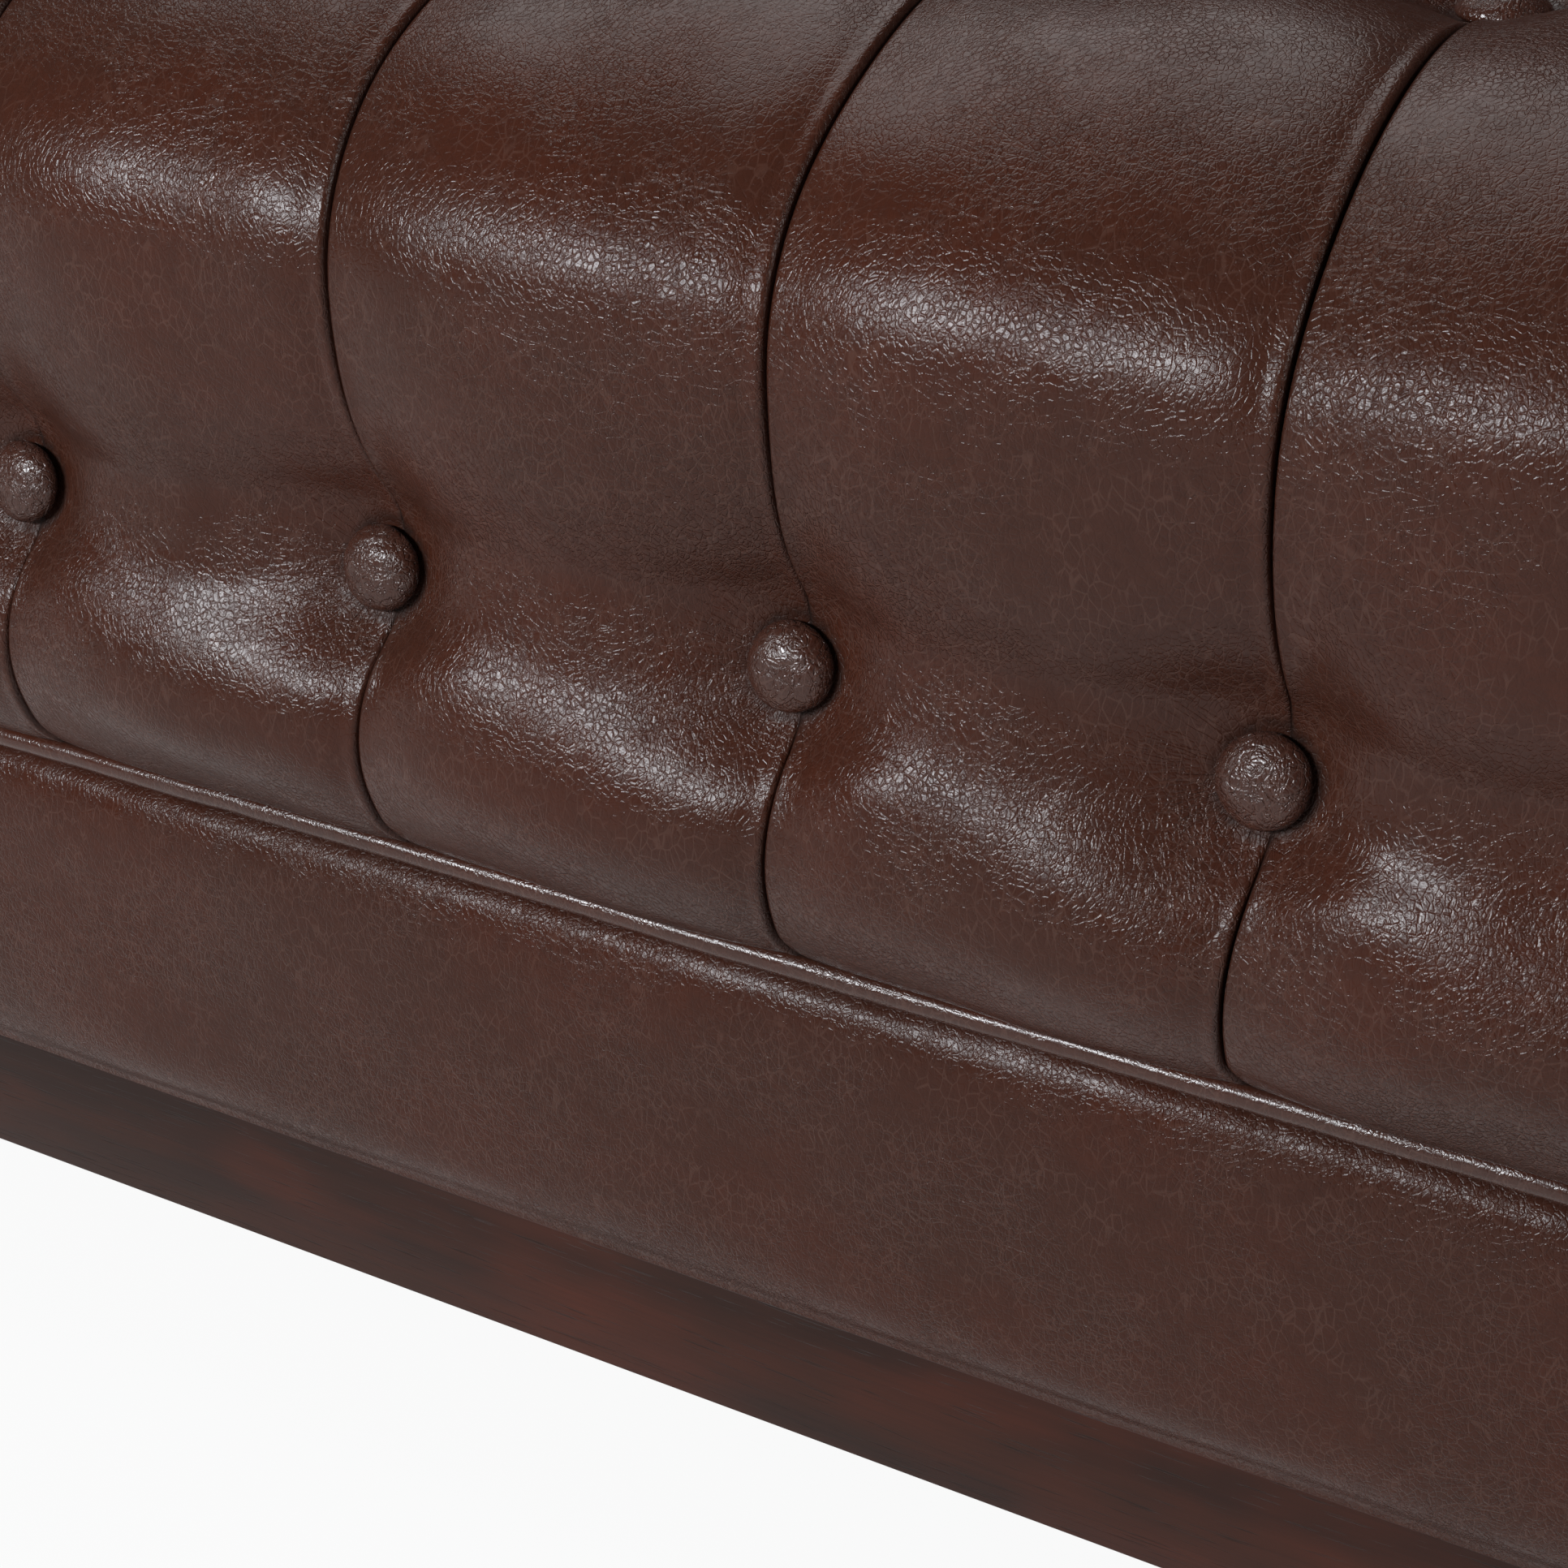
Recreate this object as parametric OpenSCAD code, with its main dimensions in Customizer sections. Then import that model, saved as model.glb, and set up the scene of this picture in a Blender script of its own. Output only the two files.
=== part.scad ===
// Button-tufted three-seat sofa with scroll arms, in millimetres.
// The front faces -Y, +Z is up, and the origin lies on the floor under the middle of the sofa.

/* [Tufting] */
// Distance between neighbouring button columns on the seat and back
tuft_pitch = 110; // [100:1:120]
// Number of padded channels between the arms
seat_channels = 14; // [10:1:16]
// Number of padded channels along each arm
arm_channels = 5; // [4:1:6]
// Diameter of a covered button
button_d = 21; // [16:1:23]
// Height of a button's dome
button_h = 7.5; // [5:0.5:10]
// Half width of the flat that each button is pulled down to
tuft_flat = 13; // [12.5:0.5:15]
// Depth of that flat below the pleat line
tuft_depth = 6; // [3:0.5:8]
// Leather and wadding below the pleat line
pad_thickness = 16; // [14:1:20]
// Rise of a seat channel over the pleats beside it
seat_crown = 12; // [8:1:18]
// Rise of an arm or back channel over the pleats beside it
wall_crown = 12; // [8:1:16]

/* [Seat] */
// Depth of the seat from the front welt to the inside of the back
seat_depth = 557; // [540:1:600]
// Height of the front welt over the floor
welt_height = 238.5; // [225:0.5:250]
// Height of the front button row over the welt
front_row_height = 78.5; // [70:0.5:84]
// Height over the welt where the front starts to roll over
roll_start_height = 150; // [140:1:160]
// Rise of the front roll from there to the seat top
roll_rise = 61; // [50:1:70]
// Distance from the welt back to the top of the front roll
roll_reach = 95; // [85:1:98]
// How far the swelling under the front row stands out
lower_swell = 15; // [8:1:18]
// How far the swelling over the front row stands out
upper_swell = 10; // [6:1:14]
// How far the front row is pulled in behind the welt
front_row_pull = 4; // [0:0.5:8]
// Distance from the welt to the first button row on top
first_top_row = 120; // [118:1:124]
// Distance between button rows on the seat top
top_row_step = 118; // [105:1:124]
// Number of button rows on the seat top
top_rows = 4; // [3:1:4]
// Diameter of the piping cords
piping_d = 7; // [5:0.5:9]

/* [Arms and back] */
// Radius of the roll, over the pleats
roll_radius = 85; // [75:1:90]
// Height of the roll's centre
roll_centre_height = 647; // [630:1:665]
// Distance of the roll's centre outside the inner face
roll_centre_out = 102; // [98:1:108]
// Distance of the outside panels' outer surface from the inner face
panel_out = 150; // [148:1:156]
// Height of the first button row above the seat, along the face
wall_first_row = 62; // [56:1:68]
// Distance between button rows along the face and roll
wall_row_step = 106; // [100:1:110]
// Thickness of the outside panels
panel_thickness = 3; // [2:0.5:4]
// How far an arm's front facing stands out before the welt
facing_stand = 20; // [16:1:24]
// Thickness of an arm's front facing
facing_thickness = 26.7; // [22:0.1:28]

/* [Plinth and legs] */
// Height of the plinth's underside over the floor
plinth_bottom = 90; // [70:1:120]
// Height of the plinth rails
plinth_height = 41; // [35:1:50]
// Thickness of the plinth rails
plinth_thickness = 22; // [18:1:26]
// Length and width of a corner block
block_size = 90; // [75:1:110]
// Radius of a leg at its top
leg_top_r = 27; // [22:0.5:32]
// Radius of a leg at its foot
leg_foot_r = 18; // [16:0.5:22]
// Thickness of a leg's glide
glide_thickness = 4; // [3:0.5:8]
// Radius of a leg's glide
glide_r = 15; // [12:0.5:16]
// Diameter of a hanger bolt
bolt_d = 8; // [6:0.5:10]

/* [Frame] */
// Thickness of the seat rails
seat_rail_thickness = 28; // [22:1:30]
// Distance of the seat rails' outer face from the inner face of arms and back
seat_rail_out = 124; // [120:1:125]
// Depth of the front seat rail's face behind the welt
front_rail_setback = 12; // [10:1:14]
// Thickness of the upright posts
post_thickness = 17; // [14:1:18]
// Width of the upright posts
post_width = 45; // [35:1:60]
// Thickness of the plank that carries each facing
stump_thickness = 19; // [15:1:22]
// Distance of the top and tuck rails' inner face from the inner face of arms and back
rail_line_out = 100; // [98:1:102]
// Width of the top rails
top_rail_width = 36; // [30:1:40]
// Height of the top rails
top_rail_height = 45; // [35:1:50]
// Height of the tuck rails
tuck_rail_height = 48; // [40:1:60]
// Height of the tuck rails over the seat rails
tuck_rail_lift = 24; // [15:1:40]
// Diameter of the spring wire
wire_d = 4; // [3:0.2:4.4]
// Distance between the rungs of a serpentine spring
spring_step = 40; // [36:1:48]
// Straight length of a spring's rung
spring_rung = 26; // [20:1:34]
// Width of a webbing strap
strap_width = 50; // [40:1:60]
// Thickness of a webbing strap
strap_thickness = 3; // [2:0.5:3]
// Thickness of the deck cloth and the dust cover
cloth_thickness = 1.5; // [1:0.1:2]

/* [Hidden] */
$fn = 40;

// Clearance between pieces that touch
fit_gap = 0.3;
// Overrun of a cut past the surface it opens
cut_over = 1;

// Colours
leather = [0.27, 0.17, 0.15];
leather_dark = [0.2, 0.12, 0.11];
walnut = [0.24, 0.14, 0.11];
pine = [0.8, 0.66, 0.45];
foam_yellow = [0.9, 0.85, 0.65];
hessian = [0.62, 0.52, 0.36];
black_cloth = [0.08, 0.08, 0.08];
spring_steel = [0.5, 0.5, 0.53];
nylon = [0.15, 0.15, 0.15];

// Main places, measured from the middle of the sofa
half_inside = tuft_pitch * seat_channels / 2;
wall_reach = roll_centre_out + roll_radius + wall_crown;
welt_y = -(seat_depth + wall_reach - upper_swell - seat_crown) / 2;
back_y = welt_y + seat_depth;
plinth_top = plinth_bottom + plinth_height;
seat_rail_top = welt_height - fit_gap;
seat_top = welt_height + roll_start_height + roll_rise;
piping_r = piping_d / 2;

// Tufted sheets.
// A sheet is a profile of rows, carried along the channels. Each row is a point of the profile and its kind.
edge_row = 0;
open_row = 1;
low_row = 2;
high_row = 3;
stations_per_channel = 4;
// Share of the channel from a pleat to its shoulder, and the shoulder's share of the crown
shoulder_share = 0.27;
shoulder_rise_share = 0.8;
// Share of the crown that is left between two buttons
tied_crown_share = 0.62;

function unit(v) = v / norm(v);
function outward(v) = unit([-v[1], v[0]]);
function is_tied(kind) = kind == low_row || kind == high_row;
function row_normal(rows, i) =
    let (from = rows[i][1] == low_row ? i : max(i - 1, 0))
    let (to = rows[i][1] == high_row ? i : min(i + 1, len(rows) - 1))
    outward(rows[to][0] - rows[from][0]);
function inner_point(rows, i, depth) = rows[i][0] - row_normal(rows, i) * depth;
function station_step(k, kind, pitch) =
    let (near = is_tied(kind) ? tuft_flat : pitch * shoulder_share)
    [0, near, pitch / 2, pitch - near][k];
function open_rise(k, crown) = k == 0 ? 0 : k == 2 ? crown : crown * shoulder_rise_share;
function tied_rise(k, crown) = k == 2 ? crown * tied_crown_share : -tuft_depth;
function station_rise(k, kind, crown) =
    kind == edge_row ? 0 : is_tied(kind) ? tied_rise(k, crown) : open_rise(k, crown);
// Share by which a place leans out along a mitre, in the last half channel at a mitred end
function mitre_share(t, span, pitch, start_cut, end_cut) =
    end_cut * max(0, 1 - (span - t) / (pitch / 2)) - start_cut * max(0, 1 - t / (pitch / 2));

function sheet_points(rows, channels, pitch, crown, start_cut, end_cut) =
    let (count = channels * stations_per_channel + 1)
    let (span = channels * pitch)
    let (outer = [for (i = [0 : len(rows) - 1]) for (j = [0 : count - 1])
        let (k = j % stations_per_channel)
        let (at_end = j == 0 || j == count - 1)
        let (t = floor(j / stations_per_channel) * pitch + station_step(k, rows[i][1], pitch))
        let (rise = at_end ? 0 : station_rise(k, rows[i][1], crown))
        let (p = rows[i][0] + row_normal(rows, i) * rise)
        [t + p[0] * mitre_share(t, span, pitch, start_cut, end_cut), p[0], p[1]]])
    let (inner = [for (i = [0 : len(rows) - 1]) inner_point(rows, i, pad_thickness)])
    concat(outer,
        [for (p = inner) [-p[0] * start_cut, p[0], p[1]]],
        [for (p = inner) [span + p[0] * end_cut, p[0], p[1]]]);

function split_quad(a, b, c, d, turn) = turn ? [[a, b, d], [b, c, d]] : [[a, b, c], [a, c, d]];
function sheet_faces(row_count, channels) =
    let (count = channels * stations_per_channel + 1)
    let (first = row_count * count)
    let (second = first + row_count)
    let (top = (row_count - 1) * count)
    concat(
        [for (i = [0 : row_count - 2]) for (j = [0 : count - 2])
            let (v = i * count + j)
            each split_quad(v, v + count, v + count + 1, v + 1, j % stations_per_channel < 2)],
        [for (j = [0 : count - 2]) [j, j + 1, first]],
        [[count - 1, second, first]],
        [for (j = [0 : count - 2]) [top + j + 1, top + j, first + row_count - 1]],
        [[second + row_count - 1, top + count - 1, first + row_count - 1]],
        [for (i = [0 : row_count - 2])
            each split_quad(first + i, second + i, second + i + 1, first + i + 1, false)],
        [for (i = [0 : row_count - 2])
            each split_quad((i + 1) * count, i * count, first + i, first + i + 1, false)],
        [for (i = [0 : row_count - 2])
            let (v = i * count + count - 1)
            each split_quad(v, v + count, second + i + 1, second + i, false)]);

// The sheet runs along +X from the origin, its outside facing -Y at the start of the profile
module tufted_sheet(rows, channels, pitch, crown, start_cut, end_cut) {
    polyhedron(
        points = sheet_points(rows, channels, pitch, crown, start_cut, end_cut),
        faces = sheet_faces(len(rows), channels),
        convexity = 8
    );
}

// Seat profile, as [y, z] from the welt
lower_share = 0.5;
profile_start = piping_r + fit_gap;
roll_back = roll_reach + upper_swell;
roll_angles = [180, 155, 130, 108];
function lower_front(z) = [-lower_swell * sin(180 * z / front_row_height), z];
function upper_front(z) =
    let (share = (roll_start_height - z) / (roll_start_height - front_row_height))
    [-upper_swell + (front_row_pull + upper_swell) * share * share, z];
function front_roll(angle) =
    [roll_reach + roll_back * cos(angle), roll_start_height + roll_rise * sin(angle)];
function on_top(y) = [y, roll_start_height + roll_rise];
function top_row(n) = first_top_row + n * top_row_step;
seat_rows = concat(
    [[lower_front(profile_start), edge_row]],
    [[lower_front(front_row_height * lower_share), open_row]],
    [[lower_front(front_row_height - tuft_flat), low_row]],
    [[upper_front(front_row_height + tuft_flat), high_row]],
    [[upper_front((front_row_height + tuft_flat + roll_start_height) / 2), open_row]],
    [for (a = roll_angles) [front_roll(a), open_row]],
    [for (n = [0 : top_rows - 1]) each concat(
        [[on_top(top_row(n) - tuft_flat), low_row]],
        [[on_top(top_row(n) + tuft_flat), high_row]],
        n < top_rows - 1 ? [[on_top(top_row(n) + top_row_step / 2), open_row]] : [])],
    [[on_top(seat_depth), edge_row]]
);
front_low_index = 2;
top_low_index = 5 + len(roll_angles);

// Arm and back profile, as [out, z] from the inner face at the floor
wall_start = seat_top + fit_gap;
knee_to_centre = [roll_centre_out, roll_centre_height - wall_start];
function wall_lean(inset) =
    let (to_centre = [roll_centre_out - inset, roll_centre_height - wall_start])
    atan2(to_centre[0], to_centre[1]) - asin((roll_radius - inset) / norm(to_centre));
face_lean = wall_lean(0);
face_length = sqrt(pow(norm(knee_to_centre), 2) - pow(roll_radius, 2));
// The cover is tacked this far outside the outer panel
tack_clear = 2;
tack_angle = acos((panel_out + tack_clear - roll_centre_out) / roll_radius);
arc_angle = 180 - face_lean + tack_angle;
arc_length = roll_radius * arc_angle * PI / 180;
wall_length = face_length + arc_length;
function roll_point(angle, radius) =
    [roll_centre_out + radius * cos(angle), roll_centre_height + radius * sin(angle)];
function wall_at(s) = s < face_length
    ? [s * sin(face_lean), wall_start + s * cos(face_lean)]
    : roll_point(180 - face_lean - (s - face_length) / roll_radius * 180 / PI, roll_radius);
wall_tie_rows = 3;
wall_end_steps = 6;
first_open_share = 0.45;
function wall_row(n) = wall_first_row + n * wall_row_step;
last_tied = wall_row(wall_tie_rows - 1) + tuft_flat;
wall_rows = concat(
    [[wall_at(0), edge_row]],
    [[wall_at((wall_first_row - tuft_flat) * first_open_share), open_row]],
    [for (n = [0 : wall_tie_rows - 1]) each concat(
        [[wall_at(wall_row(n) - tuft_flat), low_row]],
        [[wall_at(wall_row(n) + tuft_flat), high_row]],
        n < wall_tie_rows - 1 ? [[wall_at(wall_row(n) + wall_row_step / 2), open_row]] : [])],
    [for (m = [1 : wall_end_steps - 1])
        [wall_at(last_tied + (wall_length - last_tied) * m / wall_end_steps), open_row]],
    [[wall_at(wall_length), edge_row]]
);
wall_low_index = 2;
rows_per_tie = 3;

// Covered buttons: a short rim and a dome, turned about +Z
button_r = button_d / 2;
button_rim_share = 0.3;
dome_steps = 4;
// The dome ends in a small flat, short of its pole
dome_angle = 78;
module covered_button() {
    rim = button_h * button_rim_share;
    rotate_extrude($fn = 28)
        polygon(concat(
            [[0, 0], [button_r, 0]],
            [for (m = [0 : dome_steps])
                let (a = dome_angle * m / dome_steps)
                [button_r * cos(a), rim + (button_h - rim) * sin(a)]],
            [[0, rim + (button_h - rim) * sin(dome_angle)]]));
}

// Puts a button on the flat between rows i and i + 1 at the place t along the sheet
module button_on(rows, i, t) {
    n = row_normal(rows, i);
    p = (rows[i][0] + rows[i + 1][0]) / 2 + n * (fit_gap - tuft_depth);
    translate([t, p[0], p[1]])
        rotate([atan2(-n[0], n[1]), 0, 0])
            covered_button();
}

module at_seat() {
    translate([-half_inside, welt_y, welt_height])
        children();
}

module at_back() {
    translate([-half_inside, back_y, 0])
        children();
}

arm_start_y = welt_y - facing_stand + facing_thickness + fit_gap;
arm_span = back_y - arm_start_y;
arm_pitch = arm_span / arm_channels;

module at_left_arm() {
    translate([-half_inside, arm_start_y, 0])
        rotate([0, 0, 90])
            children();
}

module on_right() {
    mirror([1, 0, 0])
        children();
}

// Plan of the space that belongs to the back, and to the left arm, on either side of the mitre
plan_reach = wall_reach + roll_radius;
module back_plan(low, high) {
    translate([0, 0, low])
        linear_extrude(high - low)
            polygon([
                [-half_inside, back_y], [-half_inside - plan_reach, back_y + plan_reach],
                [half_inside + plan_reach, back_y + plan_reach], [half_inside, back_y]
            ]);
}

module left_arm_plan(low, high) {
    translate([0, 0, low])
        linear_extrude(high - low)
            polygon([
                [-half_inside, back_y - fit_gap], [-half_inside - plan_reach, back_y + plan_reach - fit_gap],
                [-half_inside - plan_reach, arm_start_y], [-half_inside, arm_start_y]
            ]);
}

// Frame places, outward from the inner face of arms and back
seat_rail_in = seat_rail_out - seat_rail_thickness;
post_in = seat_rail_out + fit_gap;
strap_in = rail_line_out - fit_gap - strap_thickness;
post_top = roll_centre_height - top_rail_height;
tuck_bottom = seat_rail_top + tuck_rail_lift;
wall_foam_in = strap_in - fit_gap;
tuck_rail_thickness = seat_rail_out - rail_line_out;
front_rail_y = welt_y + front_rail_setback;
facing_front_y = welt_y - facing_stand;

// Plinth and legs
plinth_front = welt_y;
plinth_rear = back_y + panel_out;
plinth_side = half_inside + panel_out;

module plinth_board(length) {
    translate([-length / 2, 0, 0])
        cube([length, plinth_thickness, plinth_height]);
}

module front_plinth_rail() {
    color(walnut)
        translate([0, plinth_front, plinth_bottom])
            plinth_board(plinth_side * 2);
}

module rear_plinth_rail() {
    color(walnut)
        translate([0, plinth_rear - plinth_thickness, plinth_bottom])
            plinth_board(plinth_side * 2);
}

module left_plinth_rail() {
    length = plinth_rear - plinth_front - plinth_thickness * 2;
    color(walnut)
        translate([-plinth_side, (plinth_front + plinth_rear) / 2, plinth_bottom])
            rotate([0, 0, -90])
                plinth_board(length);
}

module right_plinth_rail() {
    on_right()
        left_plinth_rail();
}

block_side = plinth_side - plinth_thickness - block_size / 2;
block_front = plinth_front + plinth_thickness + block_size / 2;
block_rear = plinth_rear - plinth_thickness - block_size / 2;
corner_places = [
    [-block_side, block_front], [block_side, block_front],
    [-block_side, block_rear], [block_side, block_rear]
];
leg_places = concat(corner_places, [[0, (block_front + block_rear) / 2]]);
bolt_hole_r = bolt_d / 2 + fit_gap / 2;
// Depth of a hanger bolt in its leg, and its height in the wood above
bolt_depth = 40;
bolt_rise = 30;

module bolt_hole(place) {
    translate([place[0], place[1], plinth_bottom - bolt_depth])
        cylinder(h = bolt_depth + bolt_rise, r = bolt_hole_r);
}

module corner_blocks() {
    color(pine)
        for (p = corner_places)
            difference() {
                translate([p[0] - block_size / 2, p[1] - block_size / 2, plinth_bottom])
                    cube([block_size, block_size, plinth_height]);
                bolt_hole(p);
            }
}

// Width of the centre stretcher
stretcher_width = 70;
module centre_stretcher() {
    front = plinth_front + plinth_thickness;
    rear = plinth_rear - plinth_thickness;
    color(pine)
        difference() {
            translate([-stretcher_width / 2, front, plinth_bottom])
                cube([stretcher_width, rear - front, plinth_height]);
            bolt_hole(leg_places[4]);
        }
}

module leg(place) {
    color(walnut)
        difference() {
            translate([place[0], place[1], glide_thickness])
                cylinder(h = plinth_bottom - glide_thickness, r1 = leg_foot_r, r2 = leg_top_r);
            bolt_hole(place);
        }
}

module front_left_leg() {
    leg(leg_places[0]);
}

module front_right_leg() {
    leg(leg_places[1]);
}

module rear_left_leg() {
    leg(leg_places[2]);
}

module rear_right_leg() {
    leg(leg_places[3]);
}

module centre_leg() {
    leg(leg_places[4]);
}

module leg_bolts() {
    color(spring_steel)
        for (p = leg_places)
            translate([p[0], p[1], plinth_bottom - bolt_depth + fit_gap])
                cylinder(h = bolt_depth + bolt_rise - fit_gap * 2, r = bolt_d / 2);
}

module leg_glides() {
    color(nylon)
        for (p = leg_places)
            translate([p[0], p[1], 0])
                cylinder(h = glide_thickness, r = glide_r);
}

// Inset of the dust cover from the plinth's outer faces
dust_inset = 6;
module dust_cover() {
    color(black_cloth)
        difference() {
            translate([-plinth_side + dust_inset, plinth_front + dust_inset, plinth_bottom - cloth_thickness])
                cube([
                    (plinth_side - dust_inset) * 2,
                    plinth_rear - plinth_front - dust_inset * 2,
                    cloth_thickness
                ]);
            for (p = leg_places)
                translate([p[0], p[1], plinth_bottom - cloth_thickness - cut_over])
                    cylinder(h = cloth_thickness + cut_over * 2, r = leg_top_r + fit_gap);
        }
}

// Seat frame
seat_rail_height = seat_rail_top - plinth_top;
module seat_rail(length) {
    translate([-length / 2, 0, plinth_top])
        cube([length, seat_rail_thickness, seat_rail_height]);
}

module front_seat_rail() {
    color(pine)
        translate([0, front_rail_y, 0])
            seat_rail((half_inside + seat_rail_out) * 2);
}

module rear_seat_rail() {
    color(pine)
        translate([0, back_y + seat_rail_in, 0])
            seat_rail((half_inside + seat_rail_out) * 2);
}

module left_seat_rail() {
    front = front_rail_y + seat_rail_thickness;
    rear = back_y + seat_rail_in;
    color(pine)
        translate([-half_inside - seat_rail_out, (front + rear) / 2, 0])
            rotate([0, 0, -90])
                seat_rail(rear - front);
}

module right_seat_rail() {
    on_right()
        left_seat_rail();
}

// Serpentine springs: a band of square wire along a line of rungs, joined at alternate ends by half rings
wire_r = wire_d / 2;
spring_bottom = seat_rail_top + fit_gap;
spring_front = front_rail_y + seat_rail_thickness / 2;
spring_run = back_y + seat_rail_in + seat_rail_thickness / 2 - spring_front;
rungs = 2 * floor(spring_run / spring_step / 2) + 1;
rung_step = spring_run / (rungs - 1);
spring_places = [for (c = [1 : seat_channels - 1]) c * tuft_pitch - half_inside];
bend_steps = 4;

// A point of the half ring after rung n, which bends towards side
function bend_point(n, side, radius, a) =
    [side * (spring_rung / 2 + radius * cos(a)), (n + 1 / 2) * rung_step + radius * sin(a)];
// One edge of the band; its rings at +X are wider by offset, and those at -X narrower
function spring_edge(offset) = concat(
    [[-spring_rung / 2, -offset]],
    [for (n = [0 : rungs - 2])
        let (side = n % 2 == 0 ? 1 : -1)
        for (m = [0 : bend_steps])
            bend_point(n, side, rung_step / 2 + side * offset, 180 * m / bend_steps - 90)],
    [[spring_rung / 2, (rungs - 1) * rung_step - offset]]
);

module spring() {
    near = spring_edge(wire_r);
    far = spring_edge(-wire_r);
    linear_extrude(wire_d)
        polygon(concat(near, [for (i = [len(far) - 1 : -1 : 0]) far[i]]));
}

module seat_springs() {
    color(spring_steel)
        for (x = spring_places)
            translate([x, spring_front, spring_bottom])
                spring();
}

// A clip is a block with a groove over the spring's end rung
clip_width = 14;
clip_length = 18;
clip_plate = 1.2;
groove_height = wire_d + fit_gap * 2;
clip_height = groove_height + clip_plate;
module clip() {
    difference() {
        translate([-clip_width / 2, -clip_length / 2, seat_rail_top])
            cube([clip_width, clip_length, clip_height]);
        translate([-clip_width / 2 - cut_over, -wire_r - fit_gap, seat_rail_top - cut_over])
            cube([clip_width + cut_over * 2, groove_height, groove_height + cut_over]);
    }
}

module spring_clips() {
    color(spring_steel)
        for (x = spring_places)
            for (y = [spring_front, spring_front + spring_run])
                translate([x, y, 0])
                    clip();
}

deck_bottom = seat_rail_top + clip_height + fit_gap;
deck_top = deck_bottom + cloth_thickness;
module deck_cloth() {
    color(hessian)
        translate([-half_inside + fit_gap, front_rail_y + fit_gap, deck_bottom])
            cube([
                (half_inside - fit_gap) * 2,
                back_y + seat_rail_out - front_rail_y - fit_gap * 2,
                cloth_thickness
            ]);
}

// Seat foam, drilled for the tufting twines
twine_r = 1;
twine_hole_r = 1.2;
foam_bottom = deck_top + fit_gap;
foam_outline = concat(
    [for (i = [0 : len(seat_rows) - 1])
        inner_point(seat_rows, i, pad_thickness + fit_gap) - [i == len(seat_rows) - 1 ? fit_gap : 0, 0]],
    [[seat_depth - fit_gap, foam_bottom - welt_height]],
    [[inner_point(seat_rows, 0, pad_thickness + fit_gap)[0], foam_bottom - welt_height]]
);

module each_top_button() {
    for (c = [1 : seat_channels - 1])
        for (n = [0 : top_rows - 1])
            translate([c * tuft_pitch, top_row(n), 0])
                children();
}

module seat_foam() {
    color(foam_yellow)
        at_seat()
            difference() {
                translate([fit_gap, 0, 0])
                    rotate([90, 0, 90])
                        linear_extrude(half_inside * 2 - fit_gap * 2)
                            polygon(foam_outline);
                each_top_button()
                    translate([0, 0, foam_bottom - welt_height - cut_over])
                        cylinder(h = roll_start_height + roll_rise, r = twine_hole_r, $fn = 16);
            }
}

module button_twines() {
    bottom = foam_bottom - welt_height;
    top = roll_start_height + roll_rise - pad_thickness - fit_gap;
    color(hessian)
        at_seat()
            each_top_button()
                translate([0, 0, bottom])
                    cylinder(h = top - bottom, r = twine_r, $fn = 16);
}

// The cover is a little narrower than the space between the arms
seat_cover_pitch = tuft_pitch - fit_gap * 2 / seat_channels;
module seat_cover() {
    color(leather)
        at_seat()
            translate([fit_gap, 0, 0])
                tufted_sheet(seat_rows, seat_channels, seat_cover_pitch, seat_crown, 0, 0);
}

module seat_front_buttons() {
    color(leather_dark)
        at_seat()
            for (c = [1 : seat_channels - 1])
                button_on(seat_rows, front_low_index, c * tuft_pitch);
}

module seat_top_buttons() {
    color(leather_dark)
        at_seat()
            for (c = [1 : seat_channels - 1])
                for (n = [0 : top_rows - 1])
                    button_on(seat_rows, top_low_index + n * rows_per_tie, c * tuft_pitch);
}

// Front rail cover: a flat face with rounded, rolled-under edges
rail_cover_edge = 6;
rail_cover_bulge = 12;
rail_cover_steps = 16;
function rail_swell_share(w) = sqrt(1 - pow(abs(2 * w - 1), 6));
module front_rail_cover() {
    bottom = plinth_top + fit_gap;
    height = welt_height - piping_r - fit_gap - bottom;
    color(leather)
        translate([-half_inside + fit_gap, front_rail_y - fit_gap, bottom])
            rotate([90, 0, 90])
                linear_extrude(half_inside * 2 - fit_gap * 2)
                    polygon(concat(
                        [[0, height], [0, 0]],
                        [for (m = [0 : rail_cover_steps])
                            let (w = m / rail_cover_steps)
                            [-rail_cover_edge - rail_cover_bulge * rail_swell_share(w), w * height]]));
}

// The cord stands a little before the welt line, on a tape that runs back to the seat rail
tape_thickness = 1;
module front_piping() {
    back = front_rail_setback - fit_gap;
    color(leather)
        translate([-half_inside + fit_gap, welt_y, welt_height]) {
            translate([0, -piping_r / 2, 0])
                rotate([0, 90, 0])
                    cylinder(h = half_inside * 2 - fit_gap * 2, r = piping_r, $fn = 32);
            translate([0, 0, -tape_thickness / 2])
                cube([half_inside * 2 - fit_gap * 2, back, tape_thickness]);
        }
}

// Back frame
back_post_side = half_inside + seat_rail_out - post_width / 2;
inner_post_share = 0.38;
back_post_inner = half_inside * inner_post_share;
back_post_places = [-back_post_side, -back_post_inner, back_post_inner, back_post_side];
screw_r = 2.5;
screw_head_r = 4.5;
screw_head_h = 3;
screw_hole_r = screw_r + fit_gap / 2;
screw_z = tuck_bottom + tuck_rail_height / 2;

// Share of the tuck rail that a screw enters
screw_bite_share = 0.8;

// Screw from the outer face of a post into the tuck rail; spare makes its hole longer
module frame_screw(r, head_r, spare) {
    rotate([90, 0, 0]) {
        cylinder(h = post_thickness + tuck_rail_thickness * screw_bite_share + spare, r = r, $fn = 16);
        cylinder(h = screw_head_h + spare, r = head_r, $fn = 24);
    }
}

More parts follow.
